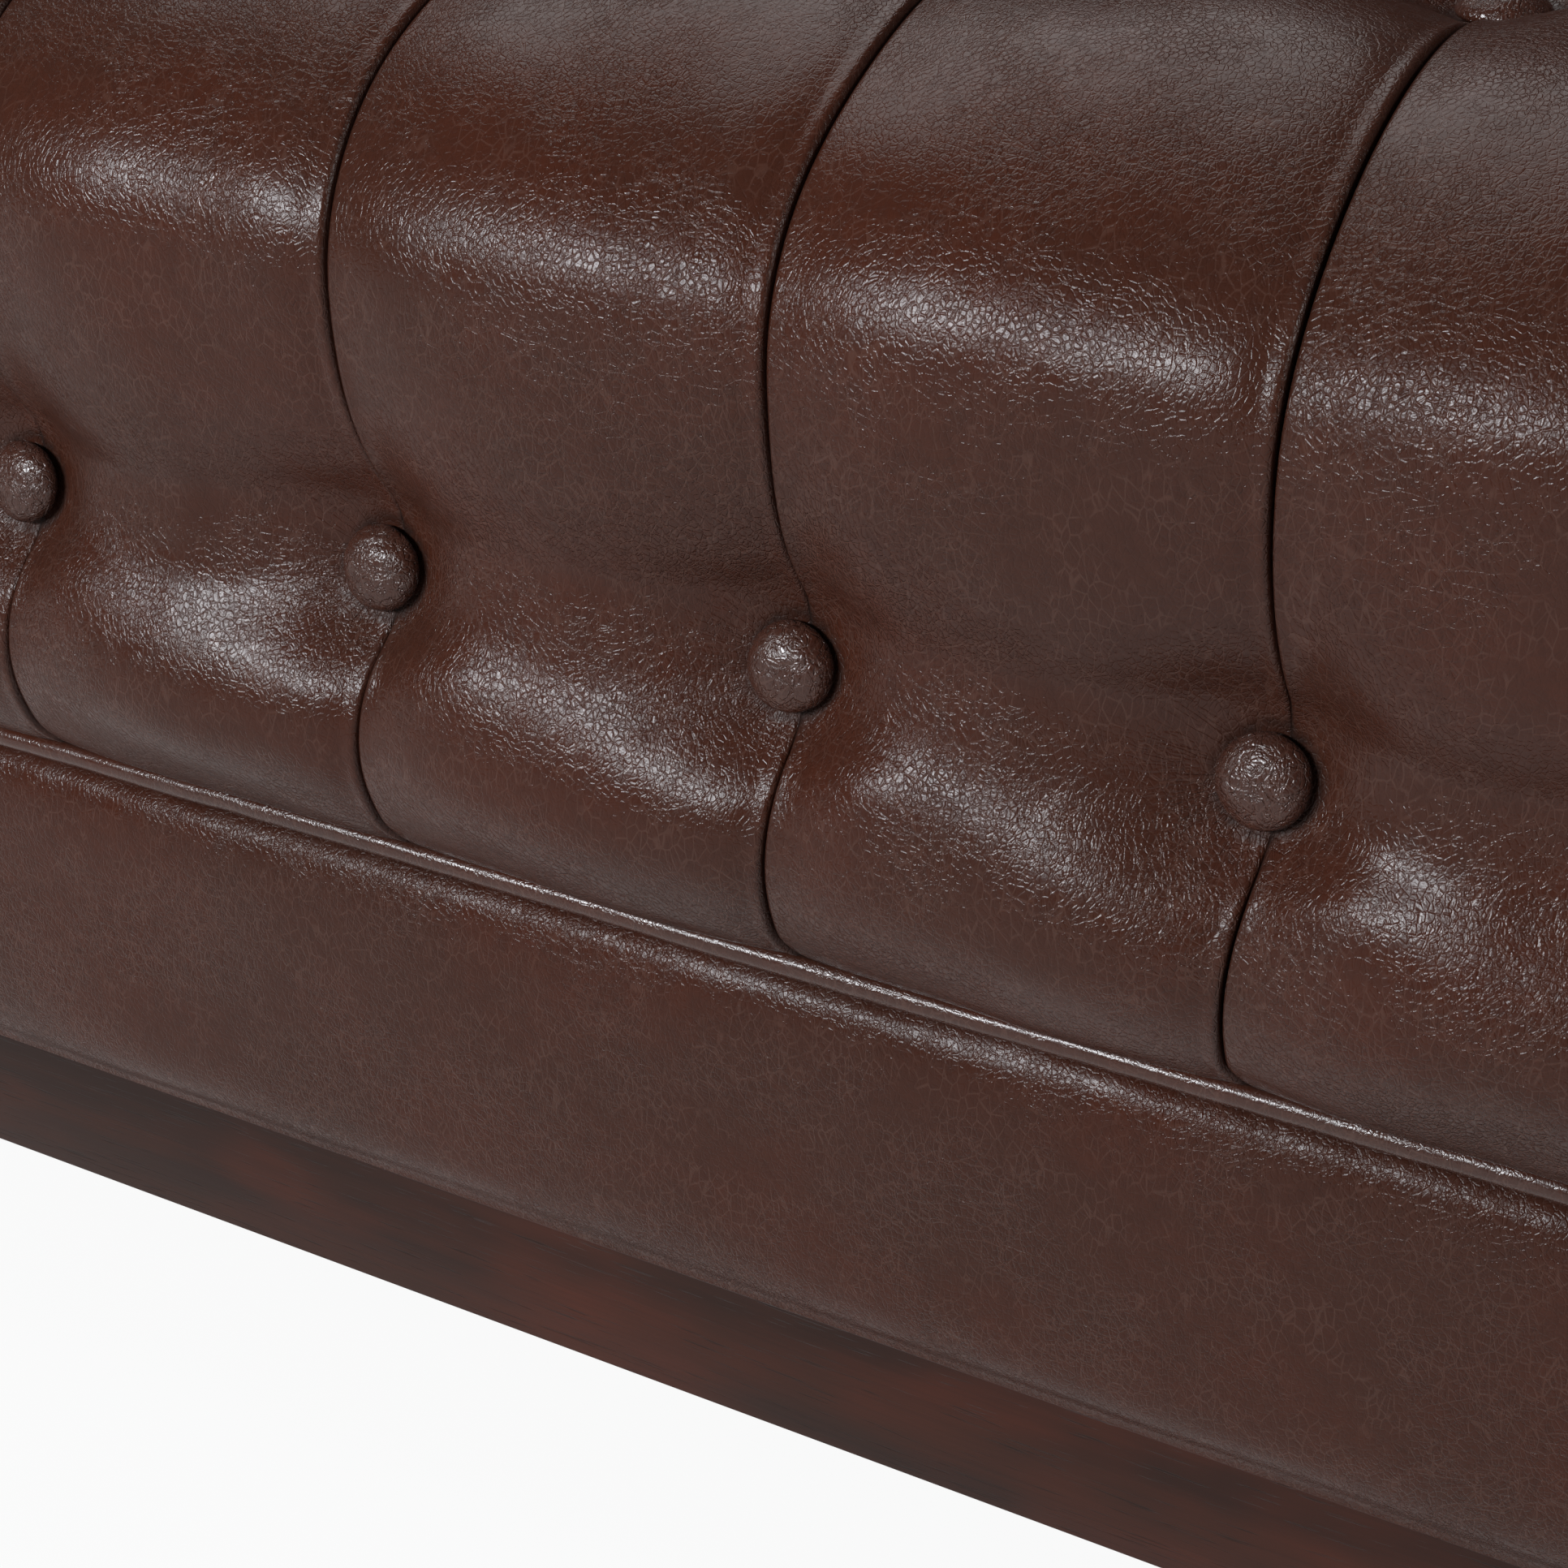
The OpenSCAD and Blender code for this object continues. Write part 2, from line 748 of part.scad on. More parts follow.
module at_back_screws() {
    for (x = back_post_places)
        translate([x, back_y + post_in + post_thickness, screw_z])
            children();
}

arm_post_shares = [0.4, 0.98];
arm_post_places = arm_post_shares * arm_span;
module at_left_arm_screws() {
    at_left_arm()
        for (t = arm_post_places)
            translate([t, post_in + post_thickness, screw_z])
                children();
}

module back_posts() {
    color(pine)
        difference() {
            for (x = back_post_places)
                translate([x - post_width / 2, back_y + post_in, plinth_top])
                    cube([post_width, post_thickness, post_top - plinth_top]);
            at_back_screws()
                frame_screw(screw_hole_r, screw_head_r + fit_gap, fit_gap * 2);
        }
}

module back_top_rail() {
    reach = half_inside + rail_line_out + top_rail_width;
    color(pine)
        translate([-reach, back_y + rail_line_out, post_top])
            cube([reach * 2, top_rail_width, top_rail_height]);
}

module back_tuck_rail() {
    reach = half_inside + seat_rail_out;
    color(pine)
        difference() {
            translate([-reach, back_y + rail_line_out, tuck_bottom])
                cube([reach * 2, tuck_rail_thickness, tuck_rail_height]);
            at_back_screws()
                frame_screw(screw_hole_r, screw_hole_r, fit_gap * 2);
        }
}

module strap() {
    translate([-strap_width / 2, strap_in, tuck_bottom])
        cube([strap_width, strap_thickness, post_top + top_rail_height - tuck_bottom - fit_gap]);
}

// Straps stand on every second pleat
back_strap_places = [for (c = [1 : 2 : seat_channels - 1]) c * tuft_pitch];
module back_webbing() {
    color(hessian)
        at_back()
            for (x = back_strap_places)
                translate([x, 0, 0])
                    strap();
}

// Foam between a wall's cover and its frame, wrapped over the top rail
wall_foam_outline = concat(
    [for (i = [0 : len(wall_rows) - 2]) inner_point(wall_rows, i, pad_thickness + fit_gap)],
    [[rail_line_out + top_rail_width + fit_gap, post_top + fit_gap]],
    [[rail_line_out + top_rail_width + fit_gap, post_top + top_rail_height + fit_gap]],
    [[wall_foam_in, post_top + top_rail_height + fit_gap]],
    [[wall_foam_in, tuck_bottom]],
    [[fit_gap * 2, tuck_bottom]],
    [[fit_gap * 2, wall_start - tuft_depth]]
);

module wall_foam(start, length) {
    translate([start, 0, 0])
        rotate([90, 0, 90])
            linear_extrude(length)
                polygon(wall_foam_outline);
}

foam_low = tuck_bottom - cut_over;
foam_high = roll_centre_height + roll_radius;
module back_foam() {
    color(foam_yellow)
        intersection() {
            at_back()
                wall_foam(-plan_reach, half_inside * 2 + plan_reach * 2);
            back_plan(foam_low, foam_high);
        }
}

module back_cover() {
    color(leather)
        at_back()
            tufted_sheet(wall_rows, seat_channels, tuft_pitch, wall_crown, 1, 1);
}

module back_buttons() {
    color(leather_dark)
        at_back()
            for (c = [1 : seat_channels - 1])
                for (n = [0 : wall_tie_rows - 1])
                    button_on(wall_rows, wall_low_index + n * rows_per_tie, c * tuft_pitch);
}

tack_height = roll_point(-tack_angle, roll_radius)[1];
panel_top = tack_height - fit_gap;
panel_bottom = plinth_top + fit_gap;
panel_in = panel_out - panel_thickness;
module outside_back_panel() {
    side = half_inside + panel_in - fit_gap;
    color(leather)
        translate([-side, back_y + panel_in, panel_bottom])
            cube([side * 2, panel_thickness, panel_top - panel_bottom]);
}

// Cardboard strips behind the top edge of each outside panel
strip_height = 22;
strip_thickness = panel_in - post_in - post_thickness - fit_gap * 2;
strip_in = panel_in - fit_gap - strip_thickness;
module arm_tacking_strip() {
    at_left_arm()
        translate([fit_gap, strip_in, panel_top - strip_height])
            cube([arm_span + post_in, strip_thickness, strip_height]);
}

module tacking_strips() {
    side = half_inside + strip_in - fit_gap;
    color(hessian) {
        translate([-side, back_y + strip_in, panel_top - strip_height])
            cube([side * 2, strip_thickness, strip_height]);
        arm_tacking_strip();
        on_right()
            arm_tacking_strip();
    }
}

// Left arm; the right one is its mirror image
module arm_posts() {
    stump_in = pad_thickness * 2;
    color(pine) {
        at_left_arm()
            translate([fit_gap, stump_in, seat_rail_top])
                cube([stump_thickness, post_in + post_thickness - stump_in, post_top - seat_rail_top]);
        difference() {
            at_left_arm()
                for (t = arm_post_places)
                    translate([t - post_width / 2, post_in, plinth_top])
                        cube([post_width, post_thickness, post_top - plinth_top]);
            at_left_arm_screws()
                frame_screw(screw_hole_r, screw_head_r + fit_gap, fit_gap * 2);
        }
    }
}

module arm_top_rail() {
    color(pine)
        at_left_arm()
            translate([fit_gap, rail_line_out, post_top])
                cube([arm_span + rail_line_out - fit_gap * 2, top_rail_width, top_rail_height]);
}

module arm_tuck_rail() {
    start = stump_thickness + fit_gap * 2;
    color(pine)
        difference() {
            at_left_arm()
                translate([start, rail_line_out, tuck_bottom])
                    cube([arm_span + rail_line_out - start - fit_gap, tuck_rail_thickness, tuck_rail_height]);
            at_left_arm_screws()
                frame_screw(screw_hole_r, screw_hole_r, fit_gap * 2);
        }
}

arm_strap_places = [for (c = [1 : arm_channels - 1]) c * arm_pitch];
module arm_webbing() {
    color(hessian)
        at_left_arm()
            for (t = arm_strap_places)
                translate([t, 0, 0])
                    strap();
}

module arm_foam() {
    start = stump_thickness + fit_gap * 2;
    color(foam_yellow)
        intersection() {
            at_left_arm()
                wall_foam(start, arm_span + plan_reach);
            left_arm_plan(foam_low, foam_high);
        }
}

module arm_cover() {
    color(leather)
        at_left_arm()
            tufted_sheet(wall_rows, arm_channels, arm_pitch - fit_gap / arm_channels, wall_crown, 0, 1);
}

module arm_buttons() {
    color(leather_dark)
        at_left_arm()
            for (c = [1 : arm_channels - 1])
                for (n = [0 : wall_tie_rows - 1])
                    button_on(wall_rows, wall_low_index + n * rows_per_tie, c * arm_pitch);
}

module outside_arm_panel() {
    color(leather)
        at_left_arm()
            translate([0, panel_in, panel_bottom])
                cube([arm_span + panel_out, panel_thickness, panel_top - panel_bottom]);
}

// Outline of the facing, and of the line of its piping, drawn in from the wall's profile
facing_arc_steps = 24;
facing_inset = piping_d + fit_gap * 3;
piping_inset = piping_r + fit_gap;
function facing_end_angle(inset) = acos((panel_out - inset - roll_centre_out) / (roll_radius - inset));
function facing_arc_start(inset) = 180 - wall_lean(inset);
function facing_outline(inset, bottom) =
    let (from = facing_arc_start(inset))
    let (to = -facing_end_angle(inset))
    concat(
        [[inset, bottom], [inset, wall_start]],
        [for (m = [0 : facing_arc_steps])
            roll_point(from + (to - from) * m / facing_arc_steps, roll_radius - inset)],
        [[panel_out - inset, bottom]]);

module arm_facing() {
    color(leather)
        at_left_arm()
            translate([-facing_thickness - fit_gap, 0, 0])
                rotate([90, 0, 90])
                    linear_extrude(facing_thickness)
                        polygon(facing_outline(facing_inset, plinth_top + fit_gap));
}

// A cord swept along a path in the XY plane: a ring of points at each corner, widened there by its turn
cord_sides = 8;
function path_way(path, i) =
    unit(path[min(i + 1, len(path) - 1)] - path[max(i - 1, 0)]);
function half_turn_cos(path, i) =
    i == 0 || i == len(path) - 1 ? 1 : path_way(path, i) * unit(path[i + 1] - path[i]);
module swept_cord(path, radius) {
    last = len(path) - 1;
    points = [for (i = [0 : last]) for (k = [0 : cord_sides - 1])
        let (side = outward(path_way(path, i)) * radius * cos(360 * k / cord_sides) / half_turn_cos(path, i))
        [path[i][0] + side[0], path[i][1] + side[1], radius * sin(360 * k / cord_sides)]];
    rings = [for (i = [0 : last - 1]) for (k = [0 : cord_sides - 1])
        let (v = i * cord_sides + k)
        let (w = i * cord_sides + (k + 1) % cord_sides)
        each split_quad(v, v + cord_sides, w + cord_sides, w, false)];
    ends = [for (k = [1 : cord_sides - 2]) each [
        [0, k, k + 1],
        [last * cord_sides, last * cord_sides + k + 1, last * cord_sides + k]
    ]];
    polyhedron(points = points, faces = concat(rings, ends), convexity = 4);
}

module facing_piping() {
    color(leather)
        at_left_arm()
            translate([-piping_r - fit_gap * 2, 0, 0])
                rotate([90, 0, 90])
                    swept_cord(facing_outline(piping_inset, plinth_top + fit_gap), piping_r);
}

module left_arm_posts() {
    arm_posts();
}

module left_arm_top_rail() {
    arm_top_rail();
}

module left_arm_tuck_rail() {
    arm_tuck_rail();
}

module left_arm_webbing() {
    arm_webbing();
}

module left_arm_foam() {
    arm_foam();
}

module left_arm_cover() {
    arm_cover();
}

module left_arm_buttons() {
    arm_buttons();
}

module left_outside_arm_panel() {
    outside_arm_panel();
}

module left_arm_facing() {
    arm_facing();
}

module left_facing_piping() {
    facing_piping();
}

module right_arm_posts() {
    on_right()
        arm_posts();
}

module right_arm_top_rail() {
    on_right()
        arm_top_rail();
}

module right_arm_tuck_rail() {
    on_right()
        arm_tuck_rail();
}

module right_arm_webbing() {
    on_right()
        arm_webbing();
}

module right_arm_foam() {
    on_right()
        arm_foam();
}

module right_arm_cover() {
    on_right()
        arm_cover();
}

module right_arm_buttons() {
    on_right()
        arm_buttons();
}

module right_outside_arm_panel() {
    on_right()
        outside_arm_panel();
}

module right_arm_facing() {
    on_right()
        arm_facing();
}

module right_facing_piping() {
    on_right()
        facing_piping();
}

module frame_screws() {
    color(spring_steel) {
        at_back_screws()
            translate([0, -fit_gap, 0])
                frame_screw(screw_r, screw_head_r, 0);
        at_left_arm_screws()
            translate([0, -fit_gap, 0])
                frame_screw(screw_r, screw_head_r, 0);
        on_right()
            at_left_arm_screws()
                translate([0, -fit_gap, 0])
                    frame_screw(screw_r, screw_head_r, 0);
    }
}

front_plinth_rail();
rear_plinth_rail();
left_plinth_rail();
right_plinth_rail();
corner_blocks();
centre_stretcher();
front_left_leg();
front_right_leg();
rear_left_leg();
rear_right_leg();
centre_leg();
leg_bolts();
leg_glides();
dust_cover();
front_seat_rail();
rear_seat_rail();
left_seat_rail();
right_seat_rail();
seat_springs();
spring_clips();
deck_cloth();
seat_foam();
button_twines();
seat_cover();
seat_front_buttons();
seat_top_buttons();
front_rail_cover();
front_piping();
back_posts();
back_top_rail();
back_tuck_rail();
back_webbing();
back_foam();
back_cover();
back_buttons();
outside_back_panel();
tacking_strips();
left_arm_posts();
left_arm_top_rail();
left_arm_tuck_rail();
left_arm_webbing();
left_arm_foam();
left_arm_cover();
left_arm_buttons();
left_outside_arm_panel();
left_arm_facing();
left_facing_piping();
right_arm_posts();
right_arm_top_rail();
right_arm_tuck_rail();
right_arm_webbing();
right_arm_foam();
right_arm_cover();
right_arm_buttons();
right_outside_arm_panel();
right_arm_facing();
right_facing_piping();
frame_screws();
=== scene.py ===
"""Button-tufted three-seat sofa: its leather, wood and inner parts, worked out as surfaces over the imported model."""

import math
from types import SimpleNamespace

import bpy
import numpy as np
from bpy.props import FloatProperty, FloatVectorProperty, IntProperty, PointerProperty
from mathutils import Matrix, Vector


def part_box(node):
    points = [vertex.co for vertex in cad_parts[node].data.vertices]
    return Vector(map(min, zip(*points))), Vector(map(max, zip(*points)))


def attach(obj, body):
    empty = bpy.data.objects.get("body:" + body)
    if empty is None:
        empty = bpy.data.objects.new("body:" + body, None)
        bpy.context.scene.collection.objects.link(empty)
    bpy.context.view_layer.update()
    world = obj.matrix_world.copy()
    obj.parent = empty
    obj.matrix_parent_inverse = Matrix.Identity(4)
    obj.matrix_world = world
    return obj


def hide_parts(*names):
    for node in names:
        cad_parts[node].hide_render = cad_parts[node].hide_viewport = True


bl_info = {
    "name": "Tufted sofa",
    "version": (1, 0, 0),
    "blender": (4, 5, 0),
    "location": "3D View > Sidebar > Tufted sofa",
    "description": "Makes the leather, piping, wood and inner parts of a button-tufted sofa",
    "category": "Add Mesh",
}

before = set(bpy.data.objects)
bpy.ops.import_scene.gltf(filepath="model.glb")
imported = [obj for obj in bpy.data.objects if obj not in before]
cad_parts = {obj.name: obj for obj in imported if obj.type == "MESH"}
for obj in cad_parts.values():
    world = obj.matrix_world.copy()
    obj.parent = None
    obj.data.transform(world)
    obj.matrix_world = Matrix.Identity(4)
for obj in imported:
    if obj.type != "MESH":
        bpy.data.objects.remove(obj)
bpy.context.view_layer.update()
MM = 0.001
SIDES = ("left", "right")
LEGS = ("front_left", "front_right", "rear_left", "rear_right", "centre")


def box_mm(node):
    """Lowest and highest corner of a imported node, in millimetres."""
    low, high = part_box(node)
    return np.array(low) / MM, np.array(high) / MM


# Places shared by many pieces, in millimetres. A wall is an arm or the back, and out is away from its inner face.
# The plinth's outer faces are those of the outside panels, and its front is the welt's plane.
PANEL_OUT = 150.0
PLINTH_REAR = box_mm("rear_plinth_rail")[1][1]
PLINTH_SIDE = box_mm("front_plinth_rail")[1][0]
HALF_INSIDE = PLINTH_SIDE - PANEL_OUT
BACK_Y = PLINTH_REAR - PANEL_OUT
WELT_Y = box_mm("front_plinth_rail")[0][1]
WELT_Z = 238.5
SEAT_TOP = 449.5
ARM_START = box_mm("left_arm_cover")[0][1]
SEAT_RISE = SEAT_TOP - WELT_Z
ROLL_CENTRE = np.array([102.0, 647.0])
ROLL_R = 85.0
# Heights over the welt of the front button row and of the start of the seat's roll
FRONT_ROW = 78.5
ROLL_START = 150.0
# How far the button rows of the seat top lie behind the welt, and those of the walls along their profile
TOP_ROWS = [120.0 + 118.0 * n for n in range(4)]
WALL_ROWS = [62.0, 168.0, 274.0]
# Half the width of the flat under a button, the thickness of leather and wadding, and the clearance between pieces
TUFT_FLAT = 13.0
PAD = 16.0
GAP = 0.3
# Stands for the distance to a pleat or button that isn't there
FAR = 1000.0
SEAT_CHANNELS = 14
ARM_CHANNELS = 5
PITCH = HALF_INSIDE * 2 / SEAT_CHANNELS
ARM_PITCH = (BACK_Y - ARM_START) / ARM_CHANNELS


# Numbers


def smooth_step(x, low, high):
    """0 below low, 1 above high, and 3s^2 - 2s^3 of the share s between them."""
    s = np.clip((x - low) / (high - low), 0, 1)
    return s * s * (3 - 2 * s)


def bell(x, width):
    """exp(-(x / width)^2)."""
    return np.exp(-((x / width) ** 2))


def unevenness(u, v, seed, short, long):
    """A sum of sines in u and v with seeded directions, phases, and wavelengths from short to long; about -1 to 1."""
    waves = 14
    made = np.random.default_rng(seed)
    total = np.zeros(np.broadcast(u, v).shape)
    for _ in range(waves):
        turn = made.uniform(0, 2 * math.pi)
        rate = 2 * math.pi / made.uniform(short, long)
        phase = made.uniform(0, 2 * math.pi)
        total = total + np.sin((u * math.cos(turn) + v * math.sin(turn)) * rate + phase)
    return total / math.sqrt(waves) * 0.8


def soft_start(x, reach):
    """1 - exp(-(x / reach)^1.3): a quick rise from 0 to 1."""
    return 1 - np.exp(-((x / reach) ** 1.3))


def quarter_round(s):
    """sqrt(1 - (1 - s)^2) of a share s kept between 0 and 1."""
    return np.sqrt(np.clip(1 - (1 - np.clip(s, 0, 1)) ** 2, 0, 1))


def unit(v):
    """A vector, or each row of several, at length 1."""
    return v / (np.linalg.norm(v) if v.ndim == 1 else np.linalg.norm(v, axis=1)[:, None])


def line_lengths(points):
    """Distance along a line of points, from its first."""
    steps = np.linalg.norm(np.diff(points, axis=0), axis=1)
    return np.concatenate([[0.0], np.cumsum(steps)])


def at_lengths(points, places):
    """The points of a line at the given distances along it."""
    along = line_lengths(points)
    return np.column_stack([np.interp(places, along, points[:, k]) for k in range(points.shape[1])])


def softened(points, spacing, width):
    """The line at even spacing, averaged under a bell of the given width, with both ends kept."""
    total = line_lengths(points)[-1]
    even = at_lengths(points, np.linspace(0, total, int(round(total / spacing)) + 1))
    reach = int(3 * width / spacing)
    weights = bell(np.arange(-reach, reach + 1) * spacing, width * math.sqrt(2))
    weights = weights / weights.sum()
    before = 2 * even[0] - even[reach:0:-1]
    after = 2 * even[-1] - even[-2:-reach - 2:-1]
    whole = np.vstack([before, even, after])
    return np.column_stack([np.convolve(whole[:, k], weights, mode="valid") for k in (0, 1)])


def outward_of(points):
    """Unit normals of a profile [out, up] that climbs: its direction, turned a quarter to the left."""
    way = unit(np.gradient(points, axis=0))
    return np.column_stack([-way[:, 1], way[:, 0]])


def stepped_places(total, fine, coarse, near, reach):
    """Distances from 0 to total, fine apart within reach of the places in near, and coarse apart elsewhere."""
    w = np.linspace(0, total, int(total * 2) + 1)
    closeness = np.zeros_like(w)
    for place, span in zip(near, reach):
        closeness = np.maximum(closeness, 1 - smooth_step(np.abs(w - place), span * 0.7, span * 1.3))
    density = closeness / fine + (1 - closeness) / coarse
    count = np.concatenate([[0], np.cumsum((density[1:] + density[:-1]) / 2 * np.diff(w))])
    steps = int(math.ceil(count[-1]))
    return np.interp(np.linspace(0, count[-1], steps + 1), count, w)


# Meshes


def linked(name, data):
    """A new object of the scene."""
    made = bpy.data.objects.new(name, data)
    bpy.context.scene.collection.objects.link(made)
    return made


def new_piece(name, points, faces, material, nodes, slot, crisp=40.0):
    """A mesh object from points in millimetres and a list of face arrays. It rides on the body and replaces the nodes.

    Edges that turn by more than crisp degrees stay crisp under the smooth shading.
    """
    mesh = bpy.data.meshes.new(name)
    faces = [np.asarray(f, np.int64) for f in faces if len(f)]
    corners = np.concatenate([f.ravel() for f in faces])
    sizes = np.concatenate([np.full(len(f), f.shape[1], np.int64) for f in faces])
    starts = np.concatenate([[0], np.cumsum(sizes)[:-1]])
    mesh.vertices.add(len(points))
    mesh.vertices.foreach_set("co", (np.asarray(points) * MM).astype(np.float32).ravel())
    mesh.loops.add(len(corners))
    mesh.loops.foreach_set("vertex_index", corners.astype(np.int32))
    mesh.polygons.add(len(sizes))
    mesh.polygons.foreach_set("loop_start", starts.astype(np.int32))
    mesh.polygons.foreach_set("use_smooth", np.full(len(sizes), True))
    mesh.update(calc_edges=True)
    if mesh.validate():
        raise RuntimeError(f"{name} has a face that is not valid")
    mesh.set_sharp_from_angle(angle=math.radians(crisp))
    piece = linked(name, mesh)
    mesh.materials.append(material)
    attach(piece, "root")
    if nodes:
        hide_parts(*nodes)
    return piece


def keep_value(piece, name, values):
    """Stores one number or vector for each vertex, for the materials to read."""
    kind = "FLOAT_VECTOR" if values.ndim == 2 else "FLOAT"
    attribute = piece.data.attributes.new(name, kind, "POINT")
    attribute.data.foreach_set("vector" if values.ndim == 2 else "value", values.astype(np.float32).ravel())


def grid_faces(rows, columns, wrap=False):
    """Quads of a grid of rows by columns; wrap joins the last column to the first."""
    across = np.arange(columns if wrap else columns - 1)
    low = (np.arange(rows - 1) * columns)[:, None] + across[None, :]
    side = (np.arange(rows - 1) * columns)[:, None] + ((across + 1) % columns)[None, :]
    return np.stack([low, side, side + columns, low + columns], axis=-1).reshape(-1, 4)


def ring_faces(rows, sides):
    """Faces of a closed body made of rings: each ring joined to the next, and a flat over both ends."""
    ring = np.arange(sides)
    return [grid_faces(rows, sides, wrap=True), ring[::-1][None, :], ((rows - 1) * sides + ring)[None, :]]


def joined(parts):
    """Several (points, faces) pairs as one."""
    points, faces, first = [], [], 0
    for p, fs in parts:
        points.append(p)
        faces.extend(f + first for f in fs)
        first += len(p)
    return np.vstack(points), faces


def mirrored(points, faces):
    """The same shape on the other side of the middle, its faces turned round so that they still point outwards."""
    return points * np.array([-1.0, 1, 1]), [f[:, ::-1] for f in faces]


def repeated(shape, places):
    """A (points, faces) shape set at each of the given places."""
    points, faces = shape
    return joined([(points + np.asarray(place, float), faces) for place in places])


def closed_between(front, back, faces):
    """A closed body: faces on the front points, the same turned round on the back ones, and a rim at each open edge."""
    count = len(front)
    edges = np.concatenate([np.column_stack([faces[:, k], faces[:, (k + 1) % 4]]) for k in range(4)])
    open_edges = edges[~np.isin(edges[:, 0] * count + edges[:, 1], edges[:, 1] * count + edges[:, 0])]
    a, b = open_edges[:, 0], open_edges[:, 1]
    return np.vstack([front, back]), [faces, faces[:, ::-1] + count, np.column_stack([b, a, a + count, b + count])]


def slab(front, back):
    """A closed body between two grids of points that face each other."""
    rows, columns = front.shape[:2]
    return closed_between(front.reshape(-1, 3), back.reshape(-1, 3), grid_faces(rows, columns))


def eased(distance, radius):
    """How far a face falls back near its edge: radius times 1 - sqrt(1 - (1 - d / radius)^2), nothing beyond radius."""
    return radius * (1 - quarter_round(distance / radius))


def distance_to_line(points, line):
    """Shortest distance of each 2-D point to a line of points."""
    a, way = line[:-1], np.diff(line, axis=0)
    away = points[..., None, :] - a
    share = np.clip((away * way).sum(-1) / (way * way).sum(-1), 0, 1)
    return np.linalg.norm(away - share[..., None] * way, axis=-1).min(-1)


def raised(line, normal, rise):
    """Both coordinates of a line's points, each raised along its normal by a row of heights."""
    return [line[:, k][:, None] + normal[:, k][:, None] * rise for k in (0, 1)]


def tube(path, across, radius, sides, swell):
    """A round tube with closed ends: at each point of the path a ring square to it, its radius scaled by swell."""
    path = np.asarray(path, float)
    way = unit(np.gradient(path, axis=0))
    up = unit(np.cross(way, np.broadcast_to(np.asarray(across, float), path.shape)))
    side = np.cross(up, way)
    turn = np.arange(sides) * 2 * math.pi / sides
    out = side[:, None, :] * np.cos(turn)[None, :, None] + up[:, None, :] * np.sin(turn)[None, :, None]
    points = (path[:, None, :] + out * (radius * swell)[:, :, None]).reshape(-1, 3)
    return points, ring_faces(len(path), sides)


def lathe(profile, sides, centre=(0, 0, 0)):
    """A turned shape about a standing line: the profile [radius, height] carried round; both ends closed by a flat."""
    profile = np.asarray(profile, float)
    turn = np.arange(sides) * 2 * math.pi / sides
    ring = np.column_stack([np.cos(turn), np.sin(turn)])
    points = np.concatenate([
        profile[:, 0][:, None, None] * ring[None, :, :],
        np.broadcast_to(profile[:, 1][:, None, None], (len(profile), sides, 1)),
    ], axis=2).reshape(-1, 3) + np.asarray(centre, float)
    return points, ring_faces(len(profile), sides)


def board(low, high, along, edge, steps=3):
    """A board between two corners with eased edges: a rounded rectangle along one axis, drawn in at its ends."""
    low, high = np.asarray(low, float), np.asarray(high, float)
    axes = [along, (along + 1) % 3, (along + 2) % 3]
    size = (high - low)[axes]
    turn = np.linspace(0, math.pi / 2, steps + 1)
    ring, ease = [], []
    for k in range(4):
        corner = np.array([(size[1] - edge) if k in (0, 3) else edge, (size[2] - edge) if k in (0, 1) else edge])
        way = np.column_stack([np.cos(turn + k * math.pi / 2), np.sin(turn + k * math.pi / 2)])
        ring.append(np.broadcast_to(corner, way.shape))
        ease.append(way)
    ring, ease = np.vstack(ring), np.vstack(ease)
    draw = np.linspace(math.pi / 2, 0, steps + 1)
    start = edge - edge * np.sin(draw)
    width = edge * np.cos(draw)
    stations = np.concatenate([start, (size[0] - start)[::-1]])
    widths = np.concatenate([width, width[::-1]])
    flat = ring[None, :, :] + ease[None, :, :] * widths[:, None, None]
    count = len(ring)
    made = np.zeros((len(stations), count, 3))
    made[:, :, axes[0]] = stations[:, None]
    made[:, :, axes[1]] = flat[:, :, 0]
    made[:, :, axes[2]] = flat[:, :, 1]
    return made.reshape(-1, 3) + low, ring_faces(len(stations), count)


# Tufted covers


def lower_front(z):
    """How far the seat front lies behind the welt under its button row: a half wave that swells out by 15."""
    return -15 * np.sin(np.pi * z / FRONT_ROW)


def upper_front(z):
    """The same over the row: a parabola from 4 behind the welt at the row to 10 before it where the roll starts."""
    return -10 + 14 * ((ROLL_START - z) / (ROLL_START - FRONT_ROW)) ** 2


def seat_profile():
    """Pleat line of the seat, [y, z] from the welt: the CAD part's two swellings, front roll and level top, softened.

    The roll is a quarter of an ellipse, 105 deep and 61 high.
    """
    z = np.linspace(3.8, FRONT_ROW - TUFT_FLAT, 24)
    lower = np.column_stack([lower_front(z), z])
    z = np.linspace(FRONT_ROW + TUFT_FLAT, ROLL_START, 24)
    upper = np.column_stack([upper_front(z), z])
    a = np.radians(np.linspace(178, 90, 40))
    roll = np.column_stack([95 + 105 * np.cos(a), ROLL_START + (SEAT_RISE - ROLL_START) * np.sin(a)])
    top = np.column_stack([np.linspace(100, 557, 60), np.full(60, SEAT_RISE)])
    return softened(np.vstack([lower, upper, roll, top]), 0.5, 4.0)


def roll_line(inset, end_out):
    """The roll of the arms and back, [out, z], drawn in by inset: from the leaning face round to end_out behind."""
    reach = ROLL_CENTRE - np.array([inset, SEAT_TOP + GAP])
    radius = ROLL_R - inset
    lean = math.atan2(reach[0], reach[1]) - math.asin(radius / np.linalg.norm(reach))
    a = np.linspace(math.pi - lean, -math.acos((end_out - ROLL_CENTRE[0]) / radius), 100)
    return ROLL_CENTRE + radius * np.column_stack([np.cos(a), np.sin(a)])


